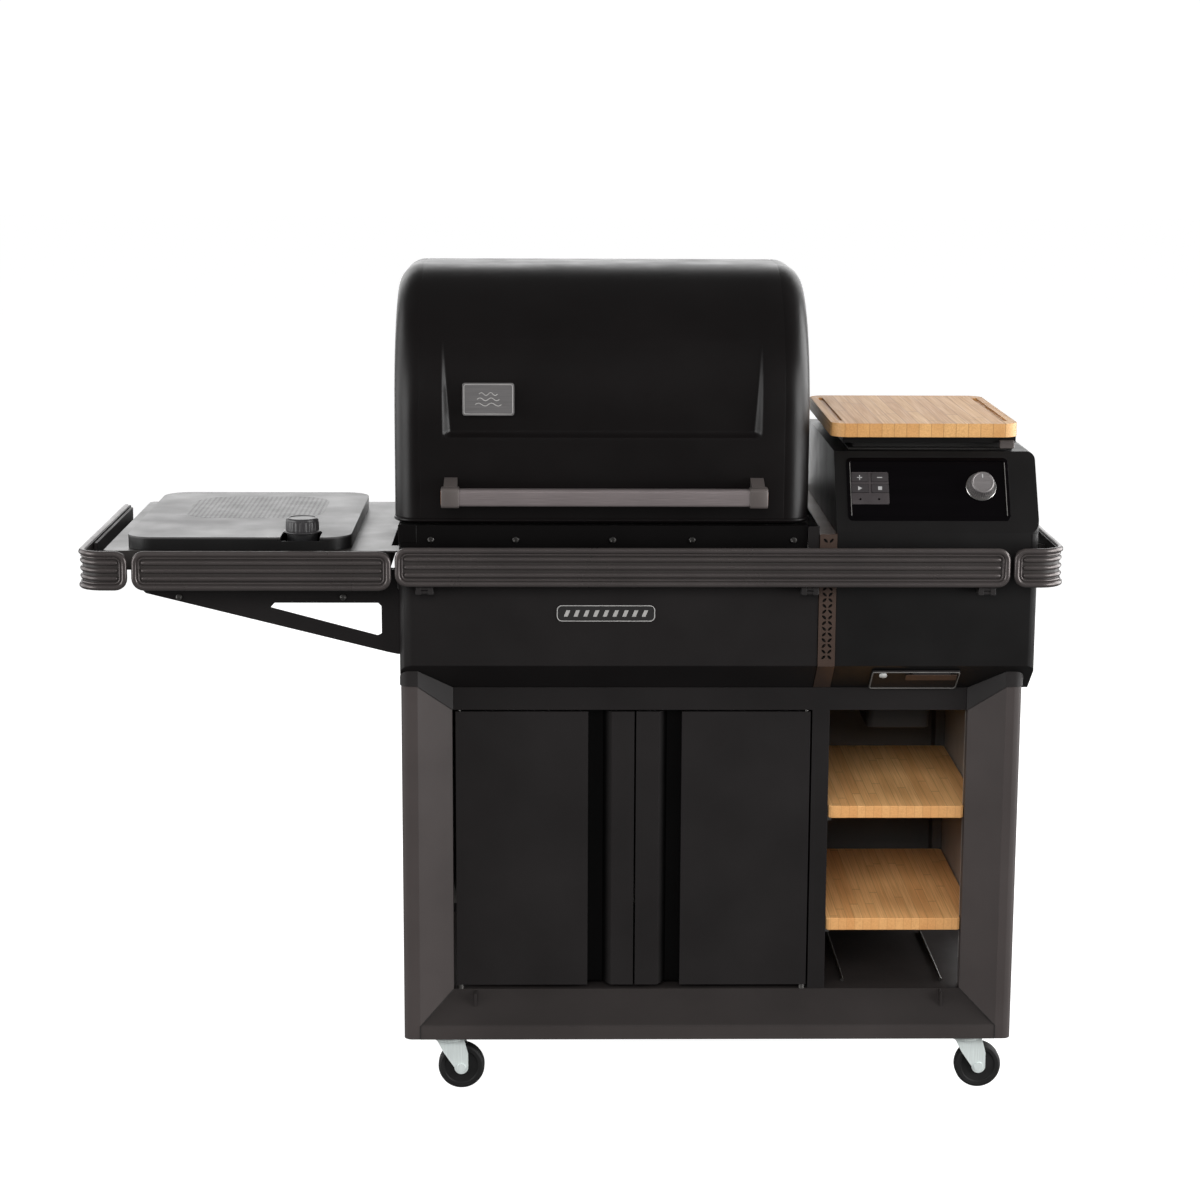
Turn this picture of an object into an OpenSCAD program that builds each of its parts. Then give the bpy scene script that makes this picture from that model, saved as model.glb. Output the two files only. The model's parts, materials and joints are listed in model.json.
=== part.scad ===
// Pellet smoker grill on a cabinet cart: barrel lid, hopper with controls, side burner shelf.
// Millimetres, +Z up, front faces -Y, origin at the middle of the footprint on the floor.

/* [Overall] */
// Distance from the floor to the top of the lid
overall_h = 1307; // [1280:1:1320]
// Depth over the front rail and the exhaust
overall_d = 635; // [630:1:645]
// Width over the two corner rails
overall_w = 1512; // [1480:1:1520]

/* [Cabinet] */
// Middle of the cabinet, measured across
cabinet_mid = 218.5; // [210:0.5:225]
// Half width over the legs
leg_out = 484.5; // [480:0.5:488]
// Half width of the flat outer band of the legs
leg_band = 458.5; // [452:0.5:462]
// Half width between the inner edges of the legs
leg_in = 406.5; // [400:0.5:410]
// Front plane of the legs and base
post_front = -270; // [-275:1:-265]
// Front plane of the doors
door_front = -225; // [-230:1:-220]
// Back plane of the cabinet
cabinet_back = 240; // [230:1:245]
// Underside of the base
base_bottom = 91; // [88:1:95]
// Height of the upright lip of the base
base_lip_h = 22; // [18:1:26]
// Top of the cabinet floor
floor_top = 160; // [156:1:166]
// Underside of the grill body
body_bottom = 657; // [654:1:660]
// Height of the rail over the doors
top_rail_h = 37; // [30:1:45]
// Height of the collars on the front legs
collar_h = 36; // [30:1:42]
// Depth of the doors
door_depth = 22; // [18:1:26]
// Depth of the wooden shelves
wood_depth = 398; // [340:1:400]
// Thickness of the wooden shelves
wood_t = 20; // [16:1:22]
// Sheet thickness of the cabinet
sheet = 3; // [2:0.5:3]

/* [Grill body] */
// Left end of the grill body
body_left = -267; // [-270:1:-264]
// Right end of the grill body
body_right = 718; // [712:1:722]
// Front plane of the grill body
body_front = -285; // [-288:1:-282]
// Back plane of the grill body
body_back = 255; // [250:1:258]
// Height of the front lower edge
body_edge = 704; // [698:1:710]
// Top of the cook chamber walls
chamber_top = 923; // [920:1:923.5]
// Left edge of the vent band
band_left = 380; // [378:1:390]
// Width of the vent band
band_w = 27; // [24:1:30]
// Wall thickness of the grill body
wall = 2; // [2:0.5:3]

/* [Lid] */
// Left end of the lid
lid_left = -274; // [-280:1:-270]
// Width of the lid
lid_w = 640; // [630:1:645]
// Front plane of the lid
lid_front = -264; // [-268:1:-260]
// Back plane of the lid
lid_back = 228; // [220:1:232]
// Underside of the lid
lid_bottom = 925; // [925:1:928]
// Radius of the front of the barrel
barrel_r = 225; // [200:5:235]
// Radius of the rounding at the ends of the barrel
barrel_edge = 38; // [30:1:45]
// Air gap between the lid and its liner
liner_gap = 14; // [10:1:20]
// Length of the handle bar
handle_len = 497; // [460:1:520]

/* [Hopper] */
// Left side of the hopper above the band
hopper_left = 406; // [402:1:412]
// Height of the crease below the control panel
crease_z = 914; // [908:1:920]
// Top of the hopper housing
hopper_top = 1030; // [1022:1:1034]
// Distance that the control slope leans back
slope_run = 70; // [60:1:80]
// Width of the control panel
panel_w = 249; // [240:1:256]
// Left edge of the control panel
panel_left = 425; // [422:1:434]

/* [Shelf and rails] */
// Left edge of the side shelf
shelf_left = -722; // [-728:1:-716]
// Front edge of the side shelf
shelf_front = -262; // [-268:1:-256]
// Back edge of the side shelf
shelf_back = 235; // [220:1:240]
// Top of the side shelf
shelf_top = 880; // [876:1:884]
// Height of the rails
rail_h = 61; // [54:1:64]
// Top of the long rail
rail_top = 894; // [890:1:898]
// How much lower the shelf rail sits
rail_step = 6; // [3:1:8]
// Outer bend radius of the corner rails
rail_bend = 40; // [30:1:50]

/* [Casters] */
// Radius of the caster wheels
wheel_r = 37; // [34:1:38]
// Width of the caster wheels
wheel_w = 24; // [20:1:28]
// Distance from a caster's stem to its axle
trail = 20; // [15:1:25]

/* [Hidden] */
$fn = 48;
eps = 0.01;

half_w = overall_w / 2;
rail_front = -overall_d / 2;
rail_t = 12;
band_right = band_left + band_w;
lid_right = lid_left + lid_w;
barrel_y = lid_front + barrel_r;
barrel_z = overall_h - barrel_r;
back_r = 150;
slope_rise = hopper_top - crease_z;
slope_angle = atan2(slope_rise, slope_run);
under_run = door_front - body_front;
under_angle = atan2(body_edge - body_bottom, under_run);
door_bottom = floor_top + 7;
door_top = body_bottom - top_rail_h - 3;
stile_left = 380;
stile_right = 407;
auger_y = 10;
auger_z = 752;
pot_x = 60;
fan_y = 164;
dial_x = 631.5;
dial_s = 76;
knob_x = -419;
knob_y = -217;
door_pin_r = 2.5;
door_pin = [6, 5.5];
lid_pivot = [238, 931];
hopper_pivot = [196, 1048];
wheel_stems = [[-196, -235], [636, -235], [-196, 205], [636, 205]];
button_spots = [[444, 91], [475, 91], [444, 73], [475, 73]];
jack_xs = [444, 473];
handle_x = 48.5;
bracket_w = 28;
ledge_right = 362;
// Half width between the side panels of the cabinet
panel_in = 433.5;
button_size = [26, 14];

// Unit vector along v.
function unit(v) = v / norm(v);
// Unit normal to the left of segment i of path p.
function side(p, i) = let (d = unit(p[i + 1] - p[i])) [-d[1], d[0]];
// Offset direction at point i of path p, longer at a bend so that the strip keeps its thickness.
function mitre(p, i) = i == 0 ? side(p, 0)
    : i == len(p) - 1 ? side(p, i - 1)
    : let (a = side(p, i - 1), b = side(p, i)) (a + b) / (1 + a * b);
// Closed outline of a sheet of thickness t folded along path p, on its left side.
function strip(p, t) = concat(p, [for (i = [len(p) - 1 : -1 : 0]) p[i] + t * mitre(p, i)]);
// Points of an arc about c, from angle a to angle b in n steps.
function arc(c, r, a, b, n) = [for (i = [0 : n]) c + r * [cos(a + (b - a) * i / n),
    sin(a + (b - a) * i / n)]];

module block(lo, hi) {
    translate(lo) cube(hi - lo);
}

// A YZ outline extruded from x0 to x1.
module along_x(x0, x1) {
    translate([x0, 0, 0]) rotate([90, 0, 90]) linear_extrude(x1 - x0) children();
}

// An XZ outline extruded from y0 to y1.
module along_y(y0, y1) {
    translate([0, y1, 0]) rotate([90, 0, 0]) linear_extrude(y1 - y0) children();
}

// An XY outline extruded from z0 to z1.
module along_z(z0, z1) {
    translate([0, 0, z0]) linear_extrude(z1 - z0) children();
}

module rod_x(x0, x1, y, z, r) {
    translate([x0, y, z]) rotate([0, 90, 0]) cylinder(h = x1 - x0, r = r);
}

module rod_y(y0, y1, x, z, r) {
    translate([x, y1, z]) rotate([90, 0, 0]) cylinder(h = y1 - y0, r = r);
}

module rod_z(z0, z1, x, y, r) {
    translate([x, y, z0]) cylinder(h = z1 - z0, r = r);
}

// A rectangle with round corners.
module rounded(lo, hi, r) {
    translate([lo[0] + r, lo[1]]) square([hi[0] - lo[0] - 2 * r, hi[1] - lo[1]]);
    translate([lo[0], lo[1] + r]) square([hi[0] - lo[0], hi[1] - lo[1] - 2 * r]);
    for (x = [lo[0] + r, hi[0] - r], y = [lo[1] + r, hi[1] - r]) translate([x, y]) circle(r);
}

// Cabinet frame: children are drawn about the cabinet's middle.
module at_cabinet() {
    translate([cabinet_mid, 0, 0]) children();
}

// ---- Cabinet ----

// Plan of the left front leg: side, round corner, outer band, bevel facet and return.
function leg_path() = concat([[-leg_out, -212]], arc([-leg_out + 13, post_front + 13], 13, 180, 270, 5),
    [[-leg_band, post_front], [-leg_in, door_front], [-leg_in, door_front + 20]]);

// Height of the body's underside at y, less the joint gap.
function under_z(y) = body_bottom + (door_front - y) * (body_edge - body_bottom) / under_run - 1;

module under_body() {
    along_x(-leg_out - 10, leg_out + 10)
        polygon([[post_front - 10, 0], [cabinet_back + 10, 0], [cabinet_back + 10, body_bottom - 1],
            [door_front, body_bottom - 1], [post_front - 10, under_z(post_front - 10)]]);
}

module leg_sheet() {
    bevel_top = body_bottom - collar_h;
    intersection() {
        along_z(base_bottom, body_edge) polygon(strip(leg_path(), sheet));
        along_y(post_front - 10, door_front + 70)
            polygon([[-leg_out - 5, base_bottom], [-leg_band, base_bottom],
                [-leg_band, base_bottom + base_lip_h], [-leg_in, floor_top], [-leg_in + 5, floor_top],
                [-leg_in + 5, bevel_top + 20], [-leg_in, bevel_top + 20],
                [-leg_band, body_edge - collar_h + 20], [-leg_out - 5, body_edge - collar_h + 20]]);
        under_body();
    }
}

module collar_sheet() {
    lower = body_bottom - collar_h;
    outer = body_edge - collar_h;
    intersection() {
        along_z(lower - 5, body_edge) polygon(strip(leg_path(), -1.8));
        along_y(post_front - 10, door_front + 70)
            polygon([[-leg_out - 5, outer], [-leg_band, outer], [-leg_in, lower], [-leg_in + 5, lower],
                [-leg_in + 5, body_edge], [-leg_out - 5, body_edge]]);
        under_body();
    }
}

module front_left_leg() {
    color([0.25, 0.24, 0.23]) at_cabinet() leg_sheet();
}

module front_right_leg() {
    color([0.25, 0.24, 0.23]) at_cabinet() mirror([1, 0, 0]) leg_sheet();
}

module leg_collars() {
    color([0.22, 0.21, 0.2]) at_cabinet() {
        collar_sheet();
        mirror([1, 0, 0]) collar_sheet();
    }
}

module rear_posts() {
    path = [[-leg_out, 182], [-leg_out, cabinet_back], [-leg_in, cabinet_back], [-leg_in, cabinet_back - 4]];
    color([0.2, 0.2, 0.2]) at_cabinet() for (m = [0, 1])
        mirror([m, 0, 0]) along_z(base_bottom, body_bottom - 1) polygon(strip(path, -sheet));
}

module base_frame() {
    lip_top = base_bottom + base_lip_h;
    front = [[post_front + 35, base_bottom], [post_front, base_bottom], [post_front, lip_top],
        [door_front, floor_top], [door_front + 4, floor_top]];
    color([0.2, 0.19, 0.19]) at_cabinet() {
        intersection() {
            along_x(-leg_band, leg_band) polygon(strip(front, -sheet));
            along_y(post_front - 5, door_front + 10)
                polygon([[-leg_band, base_bottom - 1], [-leg_band, lip_top], [-leg_in, floor_top],
                    [leg_in, floor_top], [leg_band, lip_top], [leg_band, base_bottom - 1]]);
        }
        block([-leg_in + 0.5, door_front + 4 - eps, floor_top - sheet],
            [leg_in - 0.5, cabinet_back - sheet, floor_top]);
        for (m = [0, 1]) mirror([m, 0, 0]) {
            block([-leg_out, -212, base_bottom], [-leg_out + sheet, 182, floor_top - 20]);
            block([-leg_out, -200, floor_top - 23], [-leg_in + 1, 182, floor_top - 20]);
            block([-leg_in - 5, -200, floor_top - 23], [-leg_in + 1, 182, floor_top - 1]);
            block([-panel_in, -200, floor_top - sheet], [-leg_in + 1, 182, floor_top]);
        }
        block([-leg_in + 1, cabinet_back - sheet - 1, base_bottom], [leg_in - 1, cabinet_back - 1,
            floor_top]);
    }
    // Caster pads, raceways and kingpins
    for (s = wheel_stems) color([0.2, 0.19, 0.19]) {
        block([s[0] - 45, s[1] - 30, base_bottom], [s[0] + 45, s[1] + 30, base_bottom + 6]);
        block([s[0] - 45, s[1] - 12, base_bottom + 5], [s[0] - 41, s[1] + 12, floor_top - 1]);
        block([s[0] + 41, s[1] - 12, base_bottom + 5], [s[0] + 45, s[1] + 12, floor_top - 1]);
        rod_z(base_bottom - 3.6, base_bottom + 1, s[0], s[1], 21);
        rod_z(78, base_bottom + 1, s[0], s[1], 6);
        rod_z(77, 81.6, s[0], s[1], 9.5);
    }
}

module cabinet_frame() {
    rail = [[door_front + 25, body_bottom - top_rail_h], [door_front, body_bottom - top_rail_h],
        [door_front, body_bottom - 0.5], [door_front + 35, body_bottom - 0.5]];
    stile = [[stile_left, door_front + 25], [stile_left, door_front], [stile_right, door_front],
        [stile_right, door_front + 25]];
    color([0.2, 0.2, 0.19]) {
        at_cabinet() along_x(-leg_in + 2, leg_in - 2) polygon(strip(rail, -sheet));
        along_z(floor_top, body_bottom - top_rail_h) polygon(strip(stile, 2.5));
        block([stile_right - 2.5, door_front + 24, floor_top],
            [stile_right, cabinet_back - sheet - 3, body_bottom - 4]);
    }
}

module cabinet_panels() {
    top = body_bottom - 1;
    front = door_front + 20;
    back = cabinet_back - sheet - 1;
    color([0.3, 0.3, 0.3]) at_cabinet() for (m = [0, 1]) mirror([m, 0, 0]) {
        block([-panel_in - 2.5, front, 205], [-panel_in, back - 2, top]);
        block([-panel_in - 1, front, 205], [-leg_in, front + 2, top]);
        // Square post in the back corner
        block([-panel_in - 1, back - 52, 205], [-panel_in + 16, back - 2, top]);
    }
    color([0.12, 0.12, 0.12]) at_cabinet() block([-panel_in, back - 2, floor_top], [panel_in, back, top]);
}

// Wires on the floor, rests for the shelves and the rails that the keg hangs from.
module compartment_rails() {
    color([0.4, 0.4, 0.4]) {
        for (x = [440, 600]) rod_y(-190, 60, x, floor_top + 2.5, 2.5);
        // Shelf rests on both sides of the compartment
        for (z = [256, 442]) {
            block([stile_right, -190, z - 12], [stile_right + 10, 190, z]);
            block([cabinet_mid + panel_in - 10, -190, z - 12], [cabinet_mid + panel_in, 180, z]);
        }
        for (x = [470, 584.3]) block([x, -98, 631], [x + 11.7, 108, 636.6]);
        for (x = [470, 593.5]) block([x, -98, 631], [x + 2.5, 108, body_bottom - 0.2]);
    }
}

module wood_shelves() {
    back = door_front + 5 + wood_depth;
    color([0.76, 0.58, 0.36]) for (z = [256, 442]) along_z(z, z + wood_t) {
        rounded([stile_right + 1.5, door_front + 5], [cabinet_mid + leg_in - 0.5, back], 6);
        // The shelf is wider behind the leg
        rounded([cabinet_mid + leg_in - 60, door_front + 24], [cabinet_mid + panel_in - 1.5, back], 8);
    }
}

// A door pan whose free edge is at x1; its grip groove starts at g0 on the flat side.
module door(x0, x1, g0, g1, g2) {
    f = door_front;
    b = door_front + door_depth;
    pin_x = x0 + sign(x1 - x0) * door_pin[0];
    pin_y = f + door_pin[1];
    fold = [[x0, b], [x0, f], [g0, f], [g0, b], [g1, b], [g2, f], [x1, f], [x1, b]];
    t = x1 > x0 ? 1.5 : -1.5;
    difference() {
        union() {
            along_z(door_bottom, door_top) polygon(strip(fold, t));
            along_z(door_bottom, door_bottom + 2) polygon(fold);
            along_z(door_top - 2, door_top) polygon(fold);
            rod_z(door_bottom, door_bottom + 12, pin_x, pin_y, 5.4);
            rod_z(door_top - 12, door_top, pin_x, pin_y, 5.4);
        }
        rod_z(door_bottom - 1, door_top + 1, pin_x, pin_y, door_pin_r + 0.05);
    }
}

module left_door() {
    color([0.13, 0.12, 0.12]) door(-183, 99, 26, 50, 63.5);
}

module right_door() {
    color([0.13, 0.12, 0.12]) door(377, 102, 174, 151, 138);
}

// Door pins, and the lid and hopper hinge lugs with their pins.
module hinge_hardware() {
    color([0.5, 0.5, 0.5]) {
        for (x = [-183 + door_pin[0], 377 - door_pin[0]]) {
            rod_z(floor_top, door_bottom + 10, x, door_front + door_pin[1], door_pin_r);
            rod_z(floor_top, door_bottom - 0.5, x, door_front + door_pin[1], 5);
            rod_z(door_top - 10, body_bottom - top_rail_h, x, door_front + door_pin[1], door_pin_r);
        }
        for (x = [-200, 286]) {
            for (s = [-1, 1]) {
                rod_x(x + s * 24 - 3, x + s * 24 + 3, lid_pivot[0], lid_pivot[1], 9);
                block([x + s * 24 - 3, lid_pivot[0] - 7, chamber_top + 0.5],
                    [x + s * 24 + 3, body_back + 4, lid_pivot[1]]);
            }
            block([x - 27, body_back, 906], [x + 27, body_back + 4, lid_pivot[1] - 5]);
            rod_x(x - 27, x + 27, lid_pivot[0], lid_pivot[1], 4);
        }
        for (x = [470, 640]) {
            for (s = [-1, 1]) block([x + s * 16 - 2, hopper_pivot[0] - 6, hopper_top],
                [x + s * 16 + 2, hopper_pivot[0] + 6, hopper_pivot[1] + 5]);
            rod_x(x - 18, x + 18, hopper_pivot[0], hopper_pivot[1], 3);
        }
    }
}

// ---- Grill body ----

// YZ outline of the body below z1, moved inwards by g.
module body_outline(z1, g) {
    k = g * tan((90 - under_angle) / 2);
    polygon([[body_front + g, z1], [body_front + g, body_edge + k * 0.6], [door_front + k * 0.5,
        body_bottom + g],
        [body_back - 30, body_bottom + g], [body_back - g, body_bottom + 30], [body_back - g, z1]]);
}

// The body between x0 and x1 with its front corners rounded in plan by r0 and r1.
module body_block(x0, x1, z1, g, r0, r1) {
    intersection() {
        along_x(x0 + g, x1 - g) body_outline(z1, g);
        along_z(body_bottom - 1, z1 + 1) union() {
            translate([x0 + g + r0, body_front + g]) square([x1 - x0 - 2 * g - r0 - r1, 100]);
            translate([x0 + g, body_front + g + max(r0, r1)])
                square([x1 - x0 - 2 * g, body_back - body_front - 2 * g - max(r0, r1)]);
            translate([x0 + g + r0, body_front + g + r0]) circle(max(r0, eps));
            translate([x1 - g - r1, body_front + g + r1]) circle(max(r1, eps));
        }
    }
}

module chamber_shell() {
    color([0.07, 0.07, 0.07]) difference() {
        body_block(body_left, band_left - 0.5, chamber_top, 0, 22, 0);
        body_block(body_left, band_left - 0.5, chamber_top + 10, wall, 20, 0);
        // The ledge stands a little behind the front face
        block([body_left - 1, body_front - 1, 888], [ledge_right, body_front + 8, chamber_top + 1]);
        block([body_left - 1, body_front - 1, 888], [body_left + 22, body_front + 25, chamber_top + 1]);
        rod_x(band_left - 20, band_left + 5, auger_y, auger_z, 27);
        block([-100, body_back - wall - 1, 790], [200, body_back + 1, 850]);
    }
}

module front_ledge() {
    path = [[body_front + 5, 888.2], [body_front + 5, chamber_top], [lid_front + 18, chamber_top]];
    color([0.08, 0.08, 0.08]) {
        along_x(body_left + 3, ledge_right - 0.5) polygon(strip(path, -2));
        // Pressed end tab that shows beside the lid
        block([body_left, body_front + 4, 896], [body_left + 28, body_front + 5, chamber_top + 1]);
    }
}

module screw_head(x, y, z) {
    rod_y(y - 3, y, x, z, 5);
}

// Screws of the ledge and gussets, and the clips and rods that hold the rails.
module fasteners() {
    color([0.35, 0.35, 0.35]) {
        for (x = [-217, -87, 62, 184, 340]) screw_head(x, body_front + 5, 900.5);
        for (x = [-607, -354]) screw_head(x, shelf_front + 2.5, 807);
        for (x = [-226, 364, 636]) {
            block([x - 14, rail_front + 7, rail_top - rail_h - 15], [x + 14, body_front, rail_top - rail_h]);
            rod_y(rail_front + rail_t - 1.6, body_front, x, rail_top - 20, 5);
        }
        for (x = [-610, -360]) rod_y(rail_front + rail_t - 1.6, shelf_front, x, shelf_top - 20, 5);
        for (y = [-180, 120]) rod_x(-half_w + rail_t - 1.6, shelf_left, y, shelf_top - 20, 5);
        for (y = [-180, 120]) rod_x(body_right, half_w - rail_t + 1.6, y, rail_top - 20, 5);
    }
}

// A leaf-shaped hole as the overlap of two circles, turned by a.
module leaf(a) {
    rotate(a) intersection() {
        translate([4, 0]) circle(6);
        translate([-4, 0]) circle(6);
    }
}

module vent_band() {
    x0 = band_left;
    x1 = band_right - 0.5;
    proud = 1.2;
    band_top = crease_z - 3.2;
    color([0.3, 0.22, 0.17]) difference() {
        along_x(x0, x1) difference() {
            polygon([[body_front - proud, band_top], [body_front - proud, body_edge - 0.5],
                [door_front - 1, body_bottom], [body_back - 30, body_bottom],
                [body_back + proud, body_bottom + 29], [body_back + proud, band_top]]);
            polygon([[body_front + 2, band_top - 2], [body_front + 2, body_edge + 1],
                [door_front + 1, body_bottom + 2], [body_back - 30, body_bottom + 2],
                [body_back - 2, body_bottom + 30], [body_back - 2, band_top - 2]]);
        }
        along_y(body_front - 5, body_front + 5) for (i = [0 : 13], s = [-1, 1])
            translate([(x0 + x1) / 2 + s * 4.6, body_edge + 14 + i * 9]) leaf(s * (i % 2 == 0 ? 45 : -45));
        along_y(body_front - 5, body_front + 5) for (s = [-1, 1])
            translate([(x0 + x1) / 2 + s * 4.6, 901]) leaf(-s * 45);
    }
}

module name_plate() {
    color([0.6, 0.6, 0.6]) along_y(body_front - 1.5, body_front) rounded([-24, 774], [128, 800], 8);
}

module fire_pot() {
    color([0.3, 0.3, 0.3]) difference() {
        union() {
            rod_z(690, 790, pot_x, auger_y, 56);
            rod_z(690, 693, pot_x, auger_y, 75);
            for (a = [45 : 90 : 315]) translate([pot_x, auger_y, 0]) rotate(a)
                block([65, -6, body_bottom + wall], [71, 6, 691]);
        }
        rod_z(696, 800, pot_x, auger_y, 53);
        rod_x(pot_x, pot_x + 80, auger_y, auger_z, 27);
        // Air holes round the pot
        for (a = [0 : 30 : 330]) translate([pot_x, auger_y, 715]) rotate([0, 90, a])
            translate([0, 0, 40]) cylinder(h = 40, r = 4);
    }
}

module heat_baffle() {
    path = [[-170, 793], [-60, 818], [80, 818], [190, 793]];
    color([0.45, 0.42, 0.4]) {
        along_x(-200, 330) polygon(strip(path, 2));
        for (x = [-195, 322], y = [-120, 140]) block([x - 3, y - 3, body_bottom + wall], [x + 3, y + 3, 804]);
    }
}

module drip_tray() {
    color([0.35, 0.35, 0.35]) difference() {
        block([-245, -250, 838], [365, 225, 850]);
        block([-243, -248, 840], [363, 223, 851]);
        rod_z(830, 845, 330, 150, 12);
    }
    color([0.35, 0.35, 0.35]) for (x = [-256, 366]) block([x - 8, -200, 836], [x + 8, 200, 838]);
}

// One wire grate between two corners at height z.
module grate(lo, hi, z, pitch) {
    difference() {
        block([lo[0], lo[1], z], [hi[0], hi[1], z + 6]);
        block([lo[0] + 6, lo[1] + 6, z - 1], [hi[0] - 6, hi[1] - 6, z + 7]);
    }
    for (y = [(lo[1] + hi[1]) / 2 - 70, (lo[1] + hi[1]) / 2 + 70])
        block([lo[0], y - 3, z], [hi[0], y + 3, z + 5]);
    for (x = [lo[0] + pitch : pitch : hi[0] - pitch])
        block([x - 2, lo[1] + 1, z + 1], [x + 2, hi[1] - 1, z + 6]);
}

module cooking_grates() {
    color([0.55, 0.55, 0.55]) {
        grate([-256, -262], [374, 236], 872, 18);
        grate([-215, -75], [300, 195], 1000, 22);
        // Legs of the upper rack
        for (x = [-212, 297], y = [-72, 192]) rod_z(878 + eps, 1000 - eps, x, y, 3);
    }
}

module exhaust_duct() {
    color([0.07, 0.07, 0.07]) difference() {
        block([-160, body_back, 770], [270, -rail_front, 905]);
        block([-157, body_back - 1, 773], [267, -rail_front - 3, 902]);
        for (x = [-140 : 30 : 240]) block([x, -rail_front - 4, 785], [x + 18, -rail_front + 1, 800]);
    }
}

// ---- Lid ----

// Section of the barrel: radius by width, rounded at both ends.
module barrel_section(r, w, e) {
    square([r - e, w]);
    translate([0, e]) square([r, w - 2 * e]);
    translate([r - e, e]) circle(e);
    translate([r - e, w - e]) circle(e);
}

// Solid barrel set in from the lid's outside by g, with rounded ends.
module barrel(g) {
    w = lid_w - 2 * g;
    e = barrel_edge - g * 0.7;
    front_r = barrel_r - g;
    rear_r = back_r - g;
    rear_y = lid_back - back_r;
    rear_z = overall_h - back_r;
    low = lid_bottom - 1;
    translate([lid_left + g, 0, 0]) {
        translate([0, barrel_y, barrel_z]) rotate([0, 90, 0]) rotate([0, 0, 180]) rotate_extrude(angle = 90)
            barrel_section(front_r, w, e);
        translate([0, rear_y, rear_z]) rotate([0, 90, 0]) rotate([0, 0, 90]) rotate_extrude(angle = 90)
            barrel_section(rear_r, w, e);
        translate([0, barrel_y, low]) rotate([0, 0, 90]) rotate([0, 0, 0]) linear_extrude(barrel_z - low)
            mirror([1, 0]) mirror([0, 1]) barrel_section(front_r, w, e);
        translate([0, rear_y, low]) linear_extrude(rear_z - low) rotate(90) mirror([0, 1])
            barrel_section(rear_r, w, e);
        translate([0, barrel_y, overall_h - g - front_r]) rotate([-90, 0, 0]) mirror([0, 1, 0])
            linear_extrude(rear_y - barrel_y) rotate(90) mirror([0, 1]) barrel_section(front_r, w, e);
        block([0, barrel_y - 1, low], [w, rear_y + 1, rear_z + 1]);
    }
}

module lid_shell() {
    color([0.07, 0.07, 0.07]) difference() {
        barrel(0);
        barrel(wall);
        block([lid_left - 1, lid_front - 1, lid_bottom - 5], [lid_right + 1, lid_back + 1, lid_bottom]);
        // Shallow pressed panel on the front
        block([-190, lid_front - 1, 1065], [288, lid_front + 1.2, 1190]);
    }
    // Hinge knuckles behind the lid
    color([0.07, 0.07, 0.07]) for (x = [-200, 286]) difference() {
        union() {
            rod_x(x - 20.5, x + 20.5, lid_pivot[0], lid_pivot[1], 8);
            block([x - 20.5, lid_back - 1, lid_pivot[1] - 4], [x + 20.5, lid_pivot[0], lid_pivot[1] + 8]);
        }
        rod_x(x - 30, x + 30, lid_pivot[0], lid_pivot[1], 4.05);
    }
}

module lid_liner() {
    color([0.25, 0.25, 0.25]) difference() {
        union() {
            barrel(liner_gap);
            // Rim that joins the liner to the lid
            along_z(lid_bottom + 0.5, lid_bottom + 4) rounded([lid_left + wall, lid_front + wall],
                [lid_right - wall, lid_back - wall], 42);
        }
        barrel(liner_gap + 2);
        block([lid_left - 1, lid_front - 1, lid_bottom - 5], [lid_right + 1, lid_back + 1, lid_bottom + 0.5]);
    }
}

module lid_badge() {
    color([0.6, 0.6, 0.6]) along_y(lid_front - 1, lid_front + 1.2) rounded([-168, 1090], [-89, 1140], 4);
}

module lid_handle() {
    color([0.4, 0.37, 0.36]) along_x(handle_x - handle_len / 2 + bracket_w,
        handle_x + handle_len / 2 - bracket_w)
        rounded([-315, 957], [-294, 983], 5);
}

module handle_brackets() {
    color([0.22, 0.21, 0.2]) for (x = [handle_x - handle_len / 2, handle_x + handle_len / 2 - bracket_w])
        along_x(x, x + bracket_w) polygon([[-317, 954], [-317, 984], [-300, 990], [lid_front, 994],
            [lid_front, 966],
            [-291, 954]]);
}

// ---- Hopper ----

module on_slope() {
    translate([0, body_front, crease_z]) rotate([slope_angle, 0, 0]) children();
}

// YZ outline of the hopper above the crease, moved inwards by g.
module hopper_outline(g) {
    lean = g * tan(90 - slope_angle / 2) * 0.25;
    polygon([[body_front + g, crease_z - 2], [body_front + g, crease_z + lean],
        [body_front + slope_run + g * 0.7, hopper_top - g], [body_back - 60, hopper_top - g],
        [body_back - g, hopper_top - 60], [body_back - g, crease_z - 2]]);
}

module hopper_upper(g) {
    top_r = 12;
    side_r = 12;
    width = body_right - hopper_left - 2 * g;
    intersection() {
        along_x(hopper_left + g, body_right - g) hopper_outline(g);
        along_y(body_front - 1, body_back + 1) union() {
            translate([hopper_left + g, crease_z - 3]) square([width - top_r, 200]);
            translate([body_right - g - top_r - 1, crease_z - 3])
                square([top_r + 1, hopper_top - g - crease_z - top_r + 3]);
            translate([body_right - g - top_r, hopper_top - g - top_r]) circle(top_r);
        }
        along_z(crease_z - 5, hopper_top + 5) union() {
            translate([hopper_left + g, body_front + g]) square([width - side_r, 600]);
            translate([hopper_left + g, body_front + g + side_r]) square([width, 580]);
            translate([body_right - g - side_r, body_front + g + side_r]) circle(side_r);
        }
    }
}

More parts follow.
